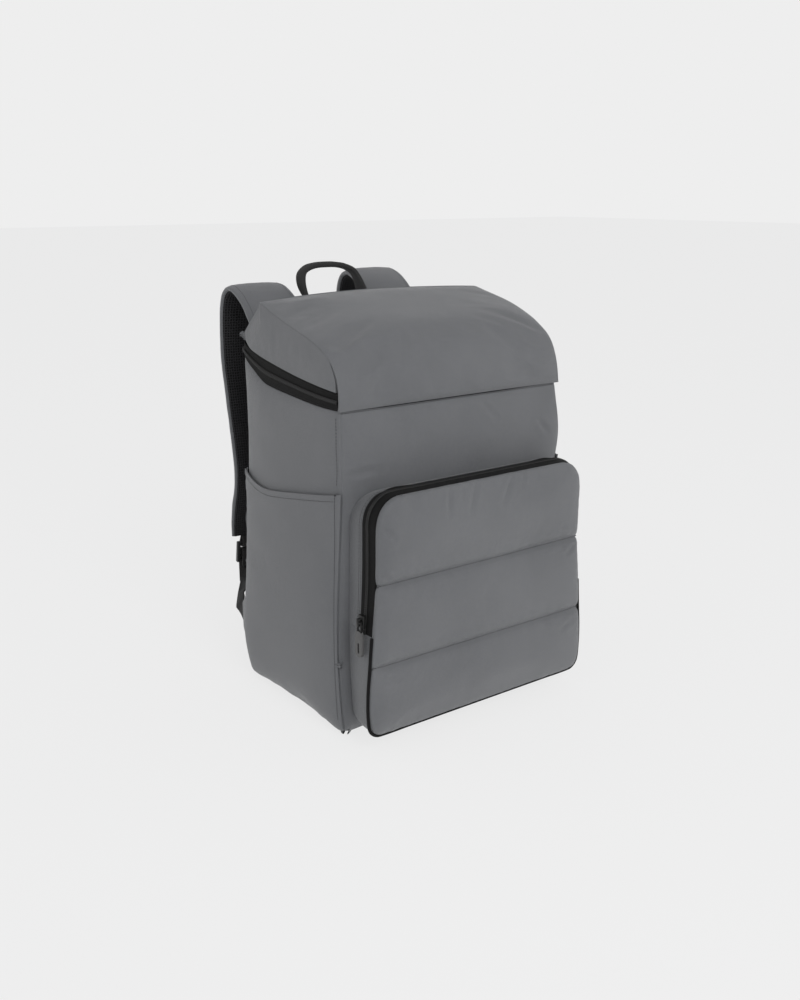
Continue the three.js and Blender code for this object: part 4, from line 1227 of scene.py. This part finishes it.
# %% Hard pieces
PULL_PARTS = {
    "slider": (coated_metal, 0.0004), "link": (coated_metal, 0.0003),
    "grip": (grip_rubber, 0.0006),
}
STRAP_PARTS = {
    "ladder_lock": (hard_plastic, 0.0007), "lock_loop": (webbing, 0.0002),
    "strap_webbing": (webbing, 0.0002), "anchor_tab": (shell, 0.0007),
}
HARD = {}
for part, made in PULL_PARTS.items():
    for pull in ("pocket", "main"):
        HARD[f"{pull}_zip_{part}"] = made
for part, made in STRAP_PARTS.items():
    for side in ("left", "right"):
        HARD[f"{part}_{side}"] = made
# The base panel's nylon is the shell's, darkened as painted shade under the bag.
HARD["base_panel"] = (shell_in_painted_shade, 0.0015)
for node, (material, round_off) in HARD.items():
    piece = copy_of(node, node + "_made")
    mesh = bmesh.new()
    mesh.from_mesh(piece.data)
    bmesh.ops.dissolve_limit(
        mesh, angle_limit=math.radians(1), verts=mesh.verts, edges=mesh.edges,
    )
    mesh.to_mesh(piece.data)
    mesh.free()
    apply(
        piece, "BEVEL", width=round_off, segments=2, limit_method="ANGLE",
        angle_limit=math.radians(35),
    )
    weave_map(piece)
    finish_piece(piece, material, frame["nodes"][node]["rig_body"], smooth_angle=40)
    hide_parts(node)
print("rounded:", len(HARD))

# %% [markdown]
# Thread shows along the lid's seam, the quilt lines, the corner seams, the pocket's gusset, the
# slip pockets' hems and the straps. Each stitch lies on the cloth.

# %% Stitches
front_cloth = surfaces(front, lid)
TO_THE_BACK = (0, 1, 0)
seam = [(-0.135, -0.12, 0.3362), (0.135, -0.12, 0.3362)]
stitch_row("stitches_lid_seam", seam, front_cloth, dark_thread, TO_THE_BACK)
for index, height in enumerate(QUILT_LINES):
    line = [(-0.134, -0.16, height), (0.134, -0.16, height)]
    stitch_row(f"stitches_quilt_{index}", line, surfaces(face), dark_thread, TO_THE_BACK)
for side, sign, wall in (("left", -1, left_side), ("right", 1, right_side)):
    on_wall = surfaces(wall, slips[side])
    corner = [(sign * 0.1480, -0.0915, height) for height in np.linspace(0.02, 0.332, 40)]
    stitch_row(f"stitches_corner_{side}", corner, on_wall, dark_thread)
    edge = rims[f"slip_pocket_{side}"]
    edge = edge[(edge[:, 2] > 0.225) & (np.abs(edge[:, 1]) < 0.088)]
    edge = edge[np.argsort(edge[:, 1])]
    hem = edge + [sign * 0.002, 0, -0.006]
    stitch_row(f"stitches_hem_{side}", hem, surfaces(slips[side]))
rear = zip_paths["pocket_zip_rear_tape"]
for index, beyond in enumerate((-0.0020, -0.0050)):
    unit = rear.wide / np.linalg.norm(rear.wide, axis=1, keepdims=True)
    line = rear.place(-0.5, 0.001) + unit * beyond
    stitch_row(f"stitches_gusset_{index}", line, surfaces(upper_gusset))
for name, half, across in (("low", "lower", -0.30), ("high", "upper", 0.30)):
    node = f"main_zip_{half}_tape"
    line = zip_paths[node].place(across, 0.0015)
    stitch_row(f"stitches_zip_{name}", line, surfaces(zip_bands[node]), dark_thread)
for side, pad_path in strap_paths.items():
    widths = np.linalg.norm(pad_path.wide, axis=1, keepdims=True)
    for name, way in (("in", -1), ("out", 1)):
        inset = way * (0.5 - 0.006 / widths)
        line = pad_path.centre + pad_path.wide * inset + pad_path.thick * 0.6
        stitch_row(f"stitches_strap_{side}_{name}", line, surfaces(pads[side]))
print("stitch rows made")
